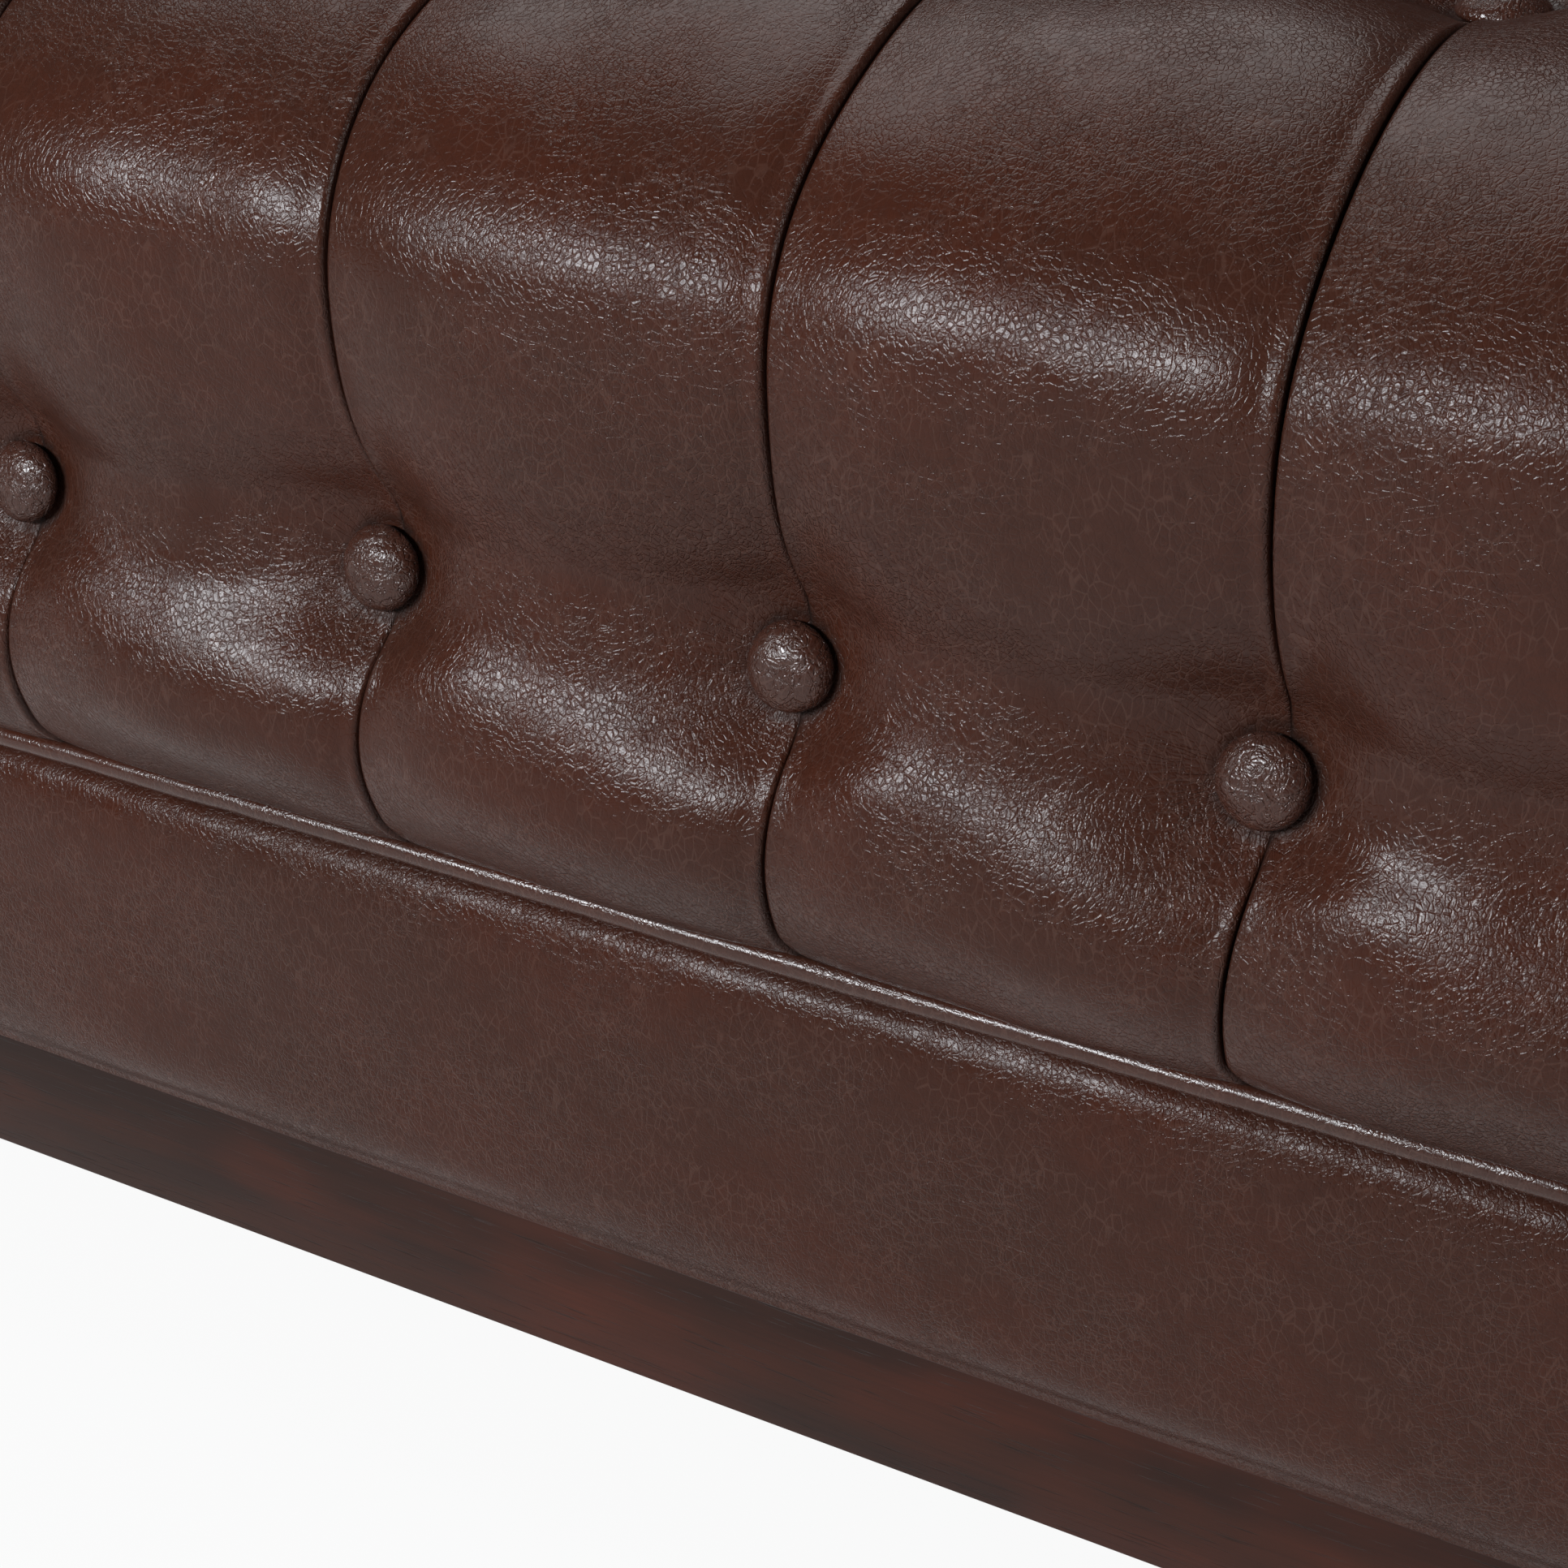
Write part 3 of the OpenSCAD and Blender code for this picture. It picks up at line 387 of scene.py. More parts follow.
def wall_profile():
    """Pleat line of the arms and back, [out, z]: a straight face that leans out, then the roll to the tack line."""
    roll = roll_line(0.0, PANEL_OUT + 2)
    start = np.array([0.0, SEAT_TOP + GAP])
    face = start + np.linspace(0, 1, 60)[:, None] * (roll[0] - start)
    return softened(np.vstack([face, roll[1:]]), 0.5, 2.0)


def scroll_outline(inset, bottom):
    """Outline of an arm's front, [out, z], drawn in by inset: up the inner face, round the roll, down the outside."""
    roll = roll_line(inset, PANEL_OUT - inset)
    return np.vstack([[inset, bottom], [inset, SEAT_TOP + GAP], roll, [PANEL_OUT - inset, bottom]])


def nearest_place(profile, point):
    """Distance along a profile of its point nearest to the given one."""
    return line_lengths(profile)[np.argmin(np.linalg.norm(profile - np.asarray(point), axis=1))]


def channel_places(pitch, columns):
    """Distances across a channel, close together at both pleats: half the pitch times 1 + tanh(k(2s - 1)) / tanh(k)."""
    s = np.linspace(0, 1, columns + 1)
    k = 1.9
    return pitch * 0.5 * (1 + np.tanh(k * (2 * s - 1)) / math.tanh(k))


def pleat_shift(at, form):
    """How far the pleats pass to the right: a little at each button, in a curl at the seam below, and in a wander."""
    shift = form.fold_curl * (1 - smooth_step(at.w, 0, form.curl_reach)) ** 2
    for tie in at.ties:
        shift = shift + form.fold_shift * bell(at.w - tie, form.shift_reach)
    return shift + form.wander * unevenness(np.round(at.x / at.pitch)[None, :] * 77.0, at.w, at.seed + 1, 60, 160)


def panel_rise(at, form, end):
    """Height of the panels: a crown, less beside the buttons and at both ends."""
    w, t = at.w, at.t
    start = quarter_round(w / form.start_reach)
    fullness = 1 + form.uneven_share * unevenness(at.channel * 131.0, 0 * at.x, at.seed + 2, 200, 700)[None, :]
    along = start * end * fullness
    if at.lower is not None:
        along = along * (at.lower + (1 - at.lower) * smooth_step(w, 10, at.ties[0] + 20))
    sag = 4 * t * (1 - t)
    for number, tie in enumerate(at.ties):
        dw = w - (tie - form.valley_sag * sag)
        spread = 0.5 + 1.2 * t if at.lower is not None and number == 0 else 0.62 + 0.85 * t
        valley = np.where(dw > 0, bell(dw, form.valley_above), bell(dw, form.valley_below * spread))
        along = along * (1 - (1 - form.tied_share) * valley)

    # A full, nearly level panel: half from shoulders that rise quickly at both pleats, and half from a sine
    shoulders = soft_start(t * at.pitch, form.left_shoulder) * soft_start((1 - t) * at.pitch, form.right_shoulder)
    shape = 0.5 * shoulders + 0.5 * np.sin(np.pi * t ** form.crest_skew)
    # A panel keeps some height right up to its pleats, and only the outermost edges come down to nothing
    edge = np.where(at.channel == 0, soft_start(at.d, form.edge_reach), 1.0)
    edge = edge * np.where(at.channel == at.channels - 1, soft_start(at.pitch - at.d, form.edge_reach), 1.0)
    rise = at.crown * along * (form.pleat_share * edge[None, :] + (1 - form.pleat_share) * shape)
    rise = rise + form.ripple * unevenness(at.x[None, :], w, at.seed + 3, 45, 120) * shape * start * end
    if at.lower is not None:
        # Under the front row the leather fills out at once on the left of a panel
        fill = form.left_fill * (1 - smooth_step(t, 0.1, 0.5)) * smooth_step(t, 0.0, 0.1)
        rise = rise + fill * bell(w - at.ties[0] + 18, 12)
        # and its fullest place lies low, so that it slopes evenly from there up to the buttons
        rise = rise + form.low_fill * bell(w - 0.42 * at.ties[0], 17) * smooth_step(w, 0, 12) * shape
    return rise


def with_pleats(at, form, end, rise):
    """The height with a lip and a groove at each pleat, how far the leather tucks under there, and the painted shade in
    its groove and under its lip.
    """
    lap = smooth_step(at.w, 0, 6) * end
    for tie in at.ties:
        lap = lap * (1 - form.lap_loss * bell(at.w - tie, form.lap_gap))
    lip = form.lip_height * smooth_step(-at.from_right, -form.lip_reach, -3) * lap
    ridge = bell(at.from_right - 1.7, 1.1) - 0.5 * bell(at.from_right - 4.6, 2.0)
    lip = lip + form.lip_ridge * ridge * lap
    drop = 1 - smooth_step(at.from_right, 0.0, 1.1)
    rise = (rise + lip) * (1 - drop) + drop * (-form.fold_depth * lap)
    groove = bell(at.from_left, 0.6)
    rise = rise * (1 - groove) - form.fold_depth * lap * groove
    tuck = form.tuck * bell(at.from_right - 0.9, 0.6) * lap
    # Painted shade, darkest in the groove of each pleat and under its lip
    fold = np.maximum(np.exp(-at.from_left / 0.8), 1 - smooth_step(at.from_right, 0.25, 1.2)) * np.ones_like(at.w)
    # Painted shade along the seat cover's lower edge, where it meets the piping
    if at.lower is not None:
        fold = fold + bell(at.w, 3.0)
    return rise, tuck, fold


def with_buttons(at, form, shift, rise, fold):
    """The height and the painted crease shade with what the buttons do to them, and the pull and gather of each vertex.

    Round each button lies a wide hollow, in it a dimple that falls to a flat by a bell of the distance from the
    button's rim, and round that small puckers and a slanting crease. A ring of painted shade lies round the rim.
    """
    lap_free = 1 - 0.6 * np.exp(-at.from_left / 4.0)
    gather = np.zeros(rise.shape)
    pull = np.zeros(rise.shape + (3,))
    nearest = np.round(at.x / at.pitch)
    real = (nearest > 0) & (nearest < at.channels)
    side = np.where(real, at.x - nearest * at.pitch, FAR)[None, :] + shift * 0.9
    slant = math.radians(57)
    made = np.random.default_rng(at.seed)
    for tie in at.ties:
        dw = at.w - tie
        r = np.hypot(side, dw)
        angle = np.arctan2(dw, side)
        phase = made.uniform(0, 6.28, at.channels + 1)[nearest.astype(int)][None, :]
        pucker = np.sin(7 * angle + phase) + 0.7 * np.sin(12 * angle + 2.3 * phase)
        rise = rise + form.pucker * pucker * bell(r - 21, 7)
        off = -side * math.sin(slant) + dw * math.cos(slant)
        out = side * math.cos(slant) + dw * math.sin(slant)
        rise = rise - form.crease_depth * bell(off, 1.3) * smooth_step(out, 9, 16) * (1 - smooth_step(out, 20, 38))
        # The hollow is widest to the lower left
        reach = np.where(side < 0, form.hollow_left, form.hollow_right)
        fall = np.where(dw < 0, form.hollow_below, form.hollow_above)
        rise = rise - form.hollow_depth * np.exp(-((side / reach) ** 2) - (dw / fall) ** 2) * lap_free
        sink = np.exp(-((np.maximum(r - form.flat_r, 0) / form.dimple_reach) ** 1.25))
        rise = rise * (1 - sink) - form.tuft_depth * sink
        # A ring of painted shade round the button's rim
        fold = fold + form.rim_shade * bell(r - form.rim_r, 1.2)
        near = bell(np.maximum(r - 12, 0), 17) * (0.5 - 0.5 * np.cos(angle - 0.6))
        stronger = near > gather
        gather = np.where(stronger, near, gather)
        spoke = np.stack(np.broadcast_arrays(np.cos(angle), np.sin(angle), r / 40 + phase), axis=-1)
        pull = np.where(stronger[:, :, None], spoke, pull)
    rise[:, [0, -1]] = 0
    return rise, fold, pull, gather


def tufted_cover(profile, places, ties, channels, pitch, columns, crown, cuts, seed, form, lower=None):
    """A tufted cover along +X from the origin: points, faces, and the painted crease shade, pull and gather of each
    vertex.

    It is a height over the profile, worked out at distances w along it and x across it. Each of its channels is a
    crowned panel that ends on its right in a small lip over a pleat. ties are the rows of buttons, cuts the slopes of
    the mitres at both ends, and lower is the share of the crown at the seat's front edge.
    """
    channel = np.append(np.repeat(np.arange(channels), columns), channels - 1)
    d = np.append(np.tile(channel_places(pitch, columns)[:-1], channels), pitch)
    x = channel * pitch + d
    at = SimpleNamespace(
        w=places[:, None], t=(d / pitch)[None, :], d=d, x=x, channel=channel, channels=channels, pitch=pitch,
        ties=ties, crown=crown, lower=lower, seed=seed,
        from_left=np.where(channel == 0, FAR, d)[None, :],
        from_right=np.where(channel == channels - 1, FAR, pitch - d)[None, :],
    )
    end = quarter_round((places[-1] - at.w) / form.end_reach)
    shift = pleat_shift(at, form)
    rise, tuck, fold = with_pleats(at, form, end, panel_rise(at, form, end))
    rise, fold, pull, gather = with_buttons(at, form, shift, rise, fold)

    base = at_lengths(profile, places)
    normal = at_lengths_by(profile, outward_of(profile), places)
    out, up = raised(base, normal, rise)
    span, half = channels * pitch, pitch / 2
    inside = smooth_step(x, 0, half) * smooth_step(span - x, 0, half)
    placed = x[None, :] + (shift + tuck) * inside[None, :]
    mitre = cuts[1] * np.clip(1 - (span - x) / half, 0, 1) - cuts[0] * np.clip(1 - x / half, 0, 1)
    outer = np.stack([placed + out * mitre[None, :], out, up], axis=-1)
    inner = base - normal * PAD
    left = np.column_stack([-inner[:, 0] * cuts[0], inner])
    right = np.column_stack([span + inner[:, 0] * cuts[1], inner])
    points, faces = closed_sheet(outer, left, right)
    unseen = 2 * len(places)
    kept = {
        "fold": np.concatenate([np.clip(fold, 0, 1).ravel(), np.zeros(unseen)]),
        "pull": np.vstack([pull.reshape(-1, 3), np.zeros((unseen, 3))]),
        "gather": np.concatenate([gather.ravel(), np.zeros(unseen)]),
    }
    return points, faces, kept


def at_lengths_by(profile, values, places):
    """Values kept for each point of a profile, at the given distances along it, as unit vectors."""
    along = line_lengths(profile)
    return unit(np.column_stack([np.interp(places, along, values[:, k]) for k in (0, 1)]))


def closed_sheet(outer, left, right):
    """A closed body from a grid of outer points and both edges of its inner side, with a fan along each end row."""
    rows, columns = outer.shape[:2]
    first_left = rows * columns
    first_right = first_left + rows
    r = np.arange(rows - 1)
    c = np.arange(columns - 1)
    top = (rows - 1) * columns
    faces = [
        grid_faces(rows, columns),
        np.column_stack([c + 1, c, np.full(columns - 1, first_left)]),
        np.array([[first_right, columns - 1, first_left]]),
        np.column_stack([top + c, top + c + 1, np.full(columns - 1, first_left + rows - 1)]),
        np.array([[top + columns - 1, first_right + rows - 1, first_left + rows - 1]]),
        np.column_stack([r * columns, (r + 1) * columns, first_left + r + 1, first_left + r]),
        np.column_stack([
            (r + 1) * columns + columns - 1, r * columns + columns - 1, first_right + r, first_right + r + 1
        ]),
        np.column_stack([first_left + r, first_left + r + 1, first_right + r + 1, first_right + r]),
    ]
    return np.vstack([outer.reshape(-1, 3), left, right]), faces


def on_seat(points, faces):
    """A shape in a cover's own axes [along, out, up], set at the seat front."""
    return points + np.array([-HALF_INSIDE, WELT_Y, WELT_Z]), faces


def on_back(points, faces):
    """A shape in a cover's own axes, set at the back."""
    return points + np.array([-HALF_INSIDE, BACK_Y, 0.0]), faces


def on_arm(side, points, faces):
    """A shape in a cover's own axes, set on the left arm by a quarter turn or mirrored onto the right one."""
    points = np.column_stack([-HALF_INSIDE - points[:, 1], ARM_START + points[:, 0], points[:, 2]])
    return (points, faces) if side == "left" else mirrored(points, faces)


# Materials


class Graph:
    """A material's node tree. add() makes a node; an input given as a socket is linked, and any other is its value."""

    def __init__(self, name):
        self.material = bpy.data.materials.new(name)
        self.material.use_nodes = True
        self.tree = self.material.node_tree
        self.tree.nodes.clear()

    def add(self, kind, inputs=None, out=0, **settings):
        node = self.tree.nodes.new("ShaderNode" + kind)
        for key, value in settings.items():
            setattr(node, key, value)
        for key, value in (inputs or {}).items():
            if isinstance(value, bpy.types.NodeSocket):
                self.tree.links.new(value, node.inputs[key])
            else:
                node.inputs[key].default_value = value
        return node.outputs[out] if len(node.outputs) else None

    def mix(self, share, a, b):
        """Color a, mixed with color b by the share."""
        a, b = (c if isinstance(c, bpy.types.NodeSocket) else (*tuple(c)[:3], 1.0) for c in (a, b))
        return self.add("Mix", {0: share, 6: a, 7: b}, out=2, data_type="RGBA")

    def math(self, operation, a, b=0.0, c=0.0):
        return self.add("Math", {0: a, 1: b, 2: c}, operation=operation)

    def times(self, a, b):
        return self.math("MULTIPLY", a, b)

    def ranged(self, value, low, high, to_low=0.0, to_high=1.0):
        return self.add("MapRange", {0: value, 1: low, 2: high, 3: to_low, 4: to_high}, interpolation_type="SMOOTHSTEP")

    def noise(self, where, scale, detail=3.0, rough=0.5, out=0, warp=0.0):
        return self.add("TexNoise", {"Vector": where, "Scale": scale, "Detail": detail, "Roughness": rough,
                                     "Distortion": warp}, out=out)

    def where(self):
        """Object coordinates."""
        return self.add("TexCoord", out=3)

    def kept(self, name, out=2):
        """The number kept for each vertex under this name, or with out=1 the vector."""
        return self.add("Attribute", out=out, attribute_type="GEOMETRY", attribute_name=name)

    def cell_edges(self, where, scale):
        """Distance to the edge of Voronoi cells."""
        return self.add("TexVoronoi", {"Vector": where, "Scale": scale}, feature="DISTANCE_TO_EDGE")

    def stretched(self, where, scale, turn=(0.0, 0.0, 0.0)):
        return self.add("Mapping", {"Vector": where, "Scale": scale, "Rotation": turn})

    def isolines(self, value, width):
        """1 along the lines where a noise crosses its middle, 0 further from them than width."""
        away = self.math("ABSOLUTE", self.math("SUBTRACT", value, 0.5))
        return self.ranged(away, 0.0, width, 1.0, 0.0)

    def bump(self, height, distance, strength=1.0, normal=None):
        inputs = {"Height": height, "Distance": distance, "Strength": strength}
        if normal is not None:
            inputs["Normal"] = normal
        return self.add("Bump", inputs)

    def finish(self, color, rough, normal, **fixed):
        inputs = {"Base Color": color, "Roughness": rough, "Normal": normal}
        inputs.update({key.replace("_", " ").title().replace("Ior", "IOR"): value for key, value in fixed.items()})
        shader = self.add("BsdfPrincipled", inputs)
        self.add("OutputMaterial", {"Surface": shader})
        return self.material


def leather(name, finish, grain=1.0, shade_creases=False, gathers=0.0, crinkle=0.0, gloss=1.0):
    """Glossy bonded leather: mottled brown, with a skin of fine creased cells, thin broken veins and a satin top coat.

    The skin's height is the distance to the edge of small Voronoi cells, warped by a noise, with pebbles in them. The
    veins are the edges of two coarser sets of cells, where a noise lets them show, and the wrinkles are the lines on
    which a noise crosses its middle. With crease shading on, painted shade darkens the pleats, seams and button rims
    that the piece keeps, and they are duller. With gathers, creases run out from each button, and with crinkle the
    leather is crumpled all over.
    """
    g = Graph(name)
    where = g.where()
    drift = g.add("VectorMath", {0: g.noise(where, 34.0, 3.0, out=1), 1: (0.5, 0.5, 0.5)}, operation="SUBTRACT")
    warped = g.add("VectorMath", {0: drift, 1: (0.007, 0.007, 0.007), 2: where}, operation="MULTIPLY_ADD")
    cells = g.ranged(g.cell_edges(g.stretched(warped, (1.15, 0.9, 0.8)), 620.0), 0.0, 0.15)
    pebbles = g.add("TexVoronoi", {"Vector": warped, "Scale": 1900.0}, feature="F1")
    patch = g.ranged(g.noise(where, 19.0, 4.0, 0.6), 0.38, 0.62)
    broken = g.ranged(g.noise(warped, 90.0, 3.0, 0.6), 0.38, 0.56)
    tall_veins = g.cell_edges(g.stretched(warped, (1.0, 0.8, 0.5), (0.1, 0.25, 0.1)), 400.0)
    wide_veins = g.cell_edges(g.stretched(warped, (0.8, 1.0, 1.1), (0.3, -0.5, 0.4)), 210.0)
    tall_veins = g.times(g.ranged(tall_veins, 0.01, 0.075, 1.0, 0.0), broken)
    wide_veins = g.times(g.ranged(wide_veins, 0.005, 0.038, 1.0, 0.0), patch)
    veins = g.math("MAXIMUM", tall_veins, wide_veins)
    wrinkles = g.isolines(g.noise(warped, 190.0, 3.0, 0.55), 0.035)
    warm = g.ranged(g.noise(where, 13.0, 5.0, 0.6), 0.4, 0.62)
    fine = g.noise(where, 230.0, 5.0, 0.7)
    color = g.mix(warm, finish.leather, finish.leather_warm)
    color = g.mix(g.ranged(fine, 0.3, 0.75, 0.0, 0.35), color, finish.leather_deep)
    wrinkled = g.times(wrinkles, g.ranged(patch, 0.0, 1.0, 0.08, 0.25))
    color = g.mix(wrinkled, color, finish.leather_deep)
    color = g.mix(g.times(veins, 0.15), color, finish.leather_vein)
    rough = g.ranged(fine, 0.25, 0.75, finish.leather_rough - 0.05, finish.leather_rough + 0.05)
    height = g.math("MULTIPLY_ADD", pebbles, 0.3, g.times(cells, 0.7))
    height = g.math("SUBTRACT", height, g.times(g.math("MAXIMUM", veins, wrinkles), 0.5))
    strength = g.math("MULTIPLY_ADD", patch, 0.5 * grain, 0.5 * grain)
    normal = g.bump(g.noise(where, 80.0, 3.0, 0.55), 0.0006 * grain, 0.22)
    if crinkle:
        ridges = g.isolines(g.noise(where, 300.0, 3.0, 0.5, warp=0.6), 0.07)
        normal = g.bump(ridges, -0.00008 * crinkle, 1.0, normal)
    if gathers:
        spokes = g.noise(g.stretched(g.kept("pull", 1), (9.0, 9.0, 3.2)), 1.0, 2.5, 0.5)
        drawn = g.times(g.isolines(spokes, 0.07), g.kept("gather"))
        normal = g.bump(drawn, -0.00022 * gathers, 1.0, normal)
    normal = g.bump(height, 0.00012, strength, normal)
    # Painted shade: the colour is darkened toward the shade colour where the piece keeps its crease shade, and made
    # rougher
    if shade_creases:
        fold = g.kept("fold")
        color = g.mix(g.times(fold, 0.92), color, finish.crease_shade_color)
        rough = g.math("MULTIPLY_ADD", fold, 0.4, rough)
    return g.finish(color, rough, normal, specular_ior_level=finish.leather_shine * gloss)


def dark_wood(name, finish, turn=(0.0, 0.0, 0.0)):
    """Dark-stained wood: long fibres along X as stretched noise, with redder streaks, fine pores and satin lacquer."""
    g = Graph(name)
    where = g.stretched(g.where(), (1.0, 1.0, 1.0), turn)
    sway = g.noise(g.stretched(where, (2.5, 12.0, 12.0)), 1.0, 2.0, out=1)
    bent = g.add("VectorMath", {0: sway, 1: (0.0, 0.012, 0.012), 2: where}, operation="MULTIPLY_ADD")
    bands = g.noise(g.stretched(bent, (3.0, 70.0, 70.0)), 1.0, 5.0, 0.6)
    fibres = g.noise(g.stretched(bent, (14.0, 900.0, 900.0)), 1.0, 3.0, 0.6)
    patches = g.noise(g.stretched(where, (7.0, 16.0, 16.0)), 1.0, 3.0, 0.6)
    pores = g.ranged(g.noise(g.stretched(bent, (55.0, 1500.0, 1500.0)), 1.0, 1.0), 0.62, 0.72)
    color = g.mix(g.ranged(bands, 0.35, 0.65), finish.wood_dark, finish.wood)
    color = g.mix(g.ranged(patches, 0.45, 0.7, 0.0, 0.75), color, finish.wood_warm)
    color = g.mix(g.ranged(fibres, 0.3, 0.8, 0.0, 0.3), color, finish.wood_dark)
    color = g.mix(g.times(pores, 0.5), color, (0.006, 0.003, 0.002))
    rough = g.ranged(bands, 0.3, 0.7, 0.42, 0.52)
    normal = g.bump(fibres, 0.00008, 0.6)
    normal = g.bump(g.times(pores, -1.0), 0.00012, 0.6, normal)
    return g.finish(color, rough, normal, specular_ior_level=0.15)


def plain_wood(name, turn=(0.0, 0.0, 0.0)):
    """Unfinished softwood: pale, with growth bands and faint darker fibres along X, or turned by the given angles."""
    g = Graph(name)
    where = g.stretched(g.where(), (1.0, 1.0, 1.0), turn)
    bands = g.noise(g.stretched(where, (1.5, 60.0, 60.0)), 1.0, 4.0, 0.55)
    fibres = g.noise(g.stretched(where, (20.0, 700.0, 700.0)), 1.0, 3.0, 0.6)
    color = g.mix(g.ranged(bands, 0.35, 0.65), (0.62, 0.42, 0.2), (0.45, 0.26, 0.1))
    color = g.mix(g.ranged(fibres, 0.3, 0.8, 0.0, 0.3), color, (0.36, 0.2, 0.08))
    return g.finish(color, g.ranged(fibres, 0.3, 0.7, 0.6, 0.75), g.bump(fibres, 0.0002, 0.6), specular_ior_level=0.3)


def woven(name, light, dark, threads):
    """Plain-woven cloth: two sets of threads as crossed sine waves, over and under by turns, with thick places."""
    g = Graph(name)
    where = g.where()
    slub = g.noise(where, 60.0, 3.0, 0.6)
    axes = g.add("SeparateXYZ", {0: g.stretched(where, (threads, threads, threads))})
    node = axes.node
    warp = g.math("SINE", g.math("ADD", node.outputs[0], node.outputs[2]))
    weft = g.math("SINE", node.outputs[1])
    height = g.math("MULTIPLY_ADD", g.times(warp, weft), 0.5, 0.5)
    color = g.mix(height, dark, light)
    color = g.mix(g.ranged(slub, 0.35, 0.7, 0.0, 0.4), color, dark)
    return g.finish(color, g.ranged(slub, 0.3, 0.7, 0.8, 0.9), g.bump(height, 0.0003, 0.8), specular_ior_level=0.15)


def felted(name, color, deep):
    """Non-woven cloth: matted fibres as fine warped noise, with a faint pattern of pressed dots."""
    g = Graph(name)
    where = g.where()
    fibres = g.noise(where, 900.0, 4.0, 0.7, warp=1.2)
    dots = g.ranged(g.add("TexVoronoi", {"Vector": where, "Scale": 420.0, "Randomness": 0.15}), 0.12, 0.3)
    made = g.mix(g.ranged(fibres, 0.35, 0.7), deep, color)
    height = g.math("MULTIPLY_ADD", dots, 0.6, fibres)
    return g.finish(made, g.ranged(fibres, 0.3, 0.7, 0.8, 0.95), g.bump(height, 0.0002, 0.8), specular_ior_level=0.12)


def cellular(name):
    """Upholstery foam: open cells as Voronoi pits in a yellowed cream."""
    g = Graph(name)
    where = g.where()
    pits = g.add("TexVoronoi", {"Vector": where, "Scale": 900.0})
    age = g.noise(where, 14.0, 3.0)
    color = g.mix(g.ranged(age, 0.35, 0.65), (0.8, 0.7, 0.4), (0.86, 0.78, 0.5))
    color = g.mix(g.ranged(pits, 0.1, 0.6, 0.4, 0.0), color, (0.5, 0.38, 0.16))
    return g.finish(color, g.ranged(pits, 0.1, 0.6, 0.95, 0.85), g.bump(pits, 0.0004, 0.7), specular_ior_level=0.1)


def drawn_steel(name):
    """Zinc-plated steel: a cloudy grey with fine drawing lines."""
    g = Graph(name)
    where = g.where()
    lines = g.noise(g.stretched(where, (60.0, 60.0, 900.0)), 1.0, 3.0)
    cloud = g.noise(where, 70.0, 3.0)
    color = g.mix(g.ranged(cloud, 0.35, 0.65), (0.42, 0.43, 0.45), (0.55, 0.55, 0.54))
    return g.finish(color, g.ranged(lines, 0.3, 0.7, 0.28, 0.45), g.bump(lines, 0.00005, 0.5), metallic=1.0)


def moulded(name):
    """Black nylon: a faint moulded grain with scuffs."""
    g = Graph(name)
    where = g.where()
    grain = g.noise(where, 1400.0, 2.0)
    scuff = g.noise(where, 120.0, 5.0, 0.7)
    color = g.mix(g.ranged(scuff, 0.5, 0.75, 0.0, 0.5), (0.014, 0.014, 0.014), (0.06, 0.06, 0.06))
    return g.finish(color, g.ranged(scuff, 0.3, 0.7, 0.4, 0.6), g.bump(grain, 0.00006, 0.6), specular_ior_level=0.4)


def twisted(name):
    """Waxed twine: slanting strands and loose fibres."""
    g = Graph(name)
    where = g.where()
    strands = g.add("TexWave", {"Vector": where, "Scale": 260.0, "Distortion": 1.5, "Detail": 2.0},
                    bands_direction="DIAGONAL")
    strands = strands.node.outputs[1]
    color = g.mix(strands, (0.3, 0.2, 0.09), (0.52, 0.4, 0.22))
    return g.finish(color, g.ranged(strands, 0.0, 1.0, 0.7, 0.5), g.bump(strands, 0.0002, 0.7), specular_ior_level=0.3)


def pressed_board(name):
    """Grey-brown tacking board: matted paper fibres and specks."""
    g = Graph(name)
    where = g.where()
    fibres = g.noise(g.stretched(where, (300.0, 90.0, 300.0)), 1.0, 5.0, 0.7)
    color = g.mix(g.ranged(fibres, 0.3, 0.7), (0.2, 0.14, 0.08), (0.33, 0.25, 0.16))
    return g.finish(color, g.ranged(fibres, 0.3, 0.7, 0.8, 0.95), g.bump(fibres, 0.0001, 0.6), specular_ior_level=0.15)


made_materials = {}


def material(name, maker, *values, **options):
    """One material of each name, made when it is first asked for."""
    if name not in made_materials:
        made_materials[name] = maker(name, *values, **options)
    return made_materials[name]


LEATHERS = {
    "tufted_leather": {"shade_creases": True, "gathers": 0.7},
    "smooth_leather": {"shade_creases": True, "gloss": 0.8},
    "button_leather": {"grain": 0.8, "crinkle": 2.0, "gloss": 2.2},
    "piping_leather": {"grain": 0.5, "shade_creases": True, "gloss": 2.2},
}


def leather_of(kind, finish):
    """One of the leathers, by its name."""
    return material(kind, leather, finish, **LEATHERS[kind])


# What a user would change


def length(name, description, default, low, high):
    """A length in metres."""
    return FloatProperty(name=name, description=description, default=default, min=low, max=high, unit="LENGTH")


def share(name, description, default, low, high):
    """A number between low and high."""
    return FloatProperty(name=name, description=description, default=default, min=low, max=high, subtype="FACTOR")


def color(name, description, default):
    """A color, in linear light."""
    return FloatVectorProperty(name=name, description=description, default=default, min=0, max=1, subtype="COLOR")


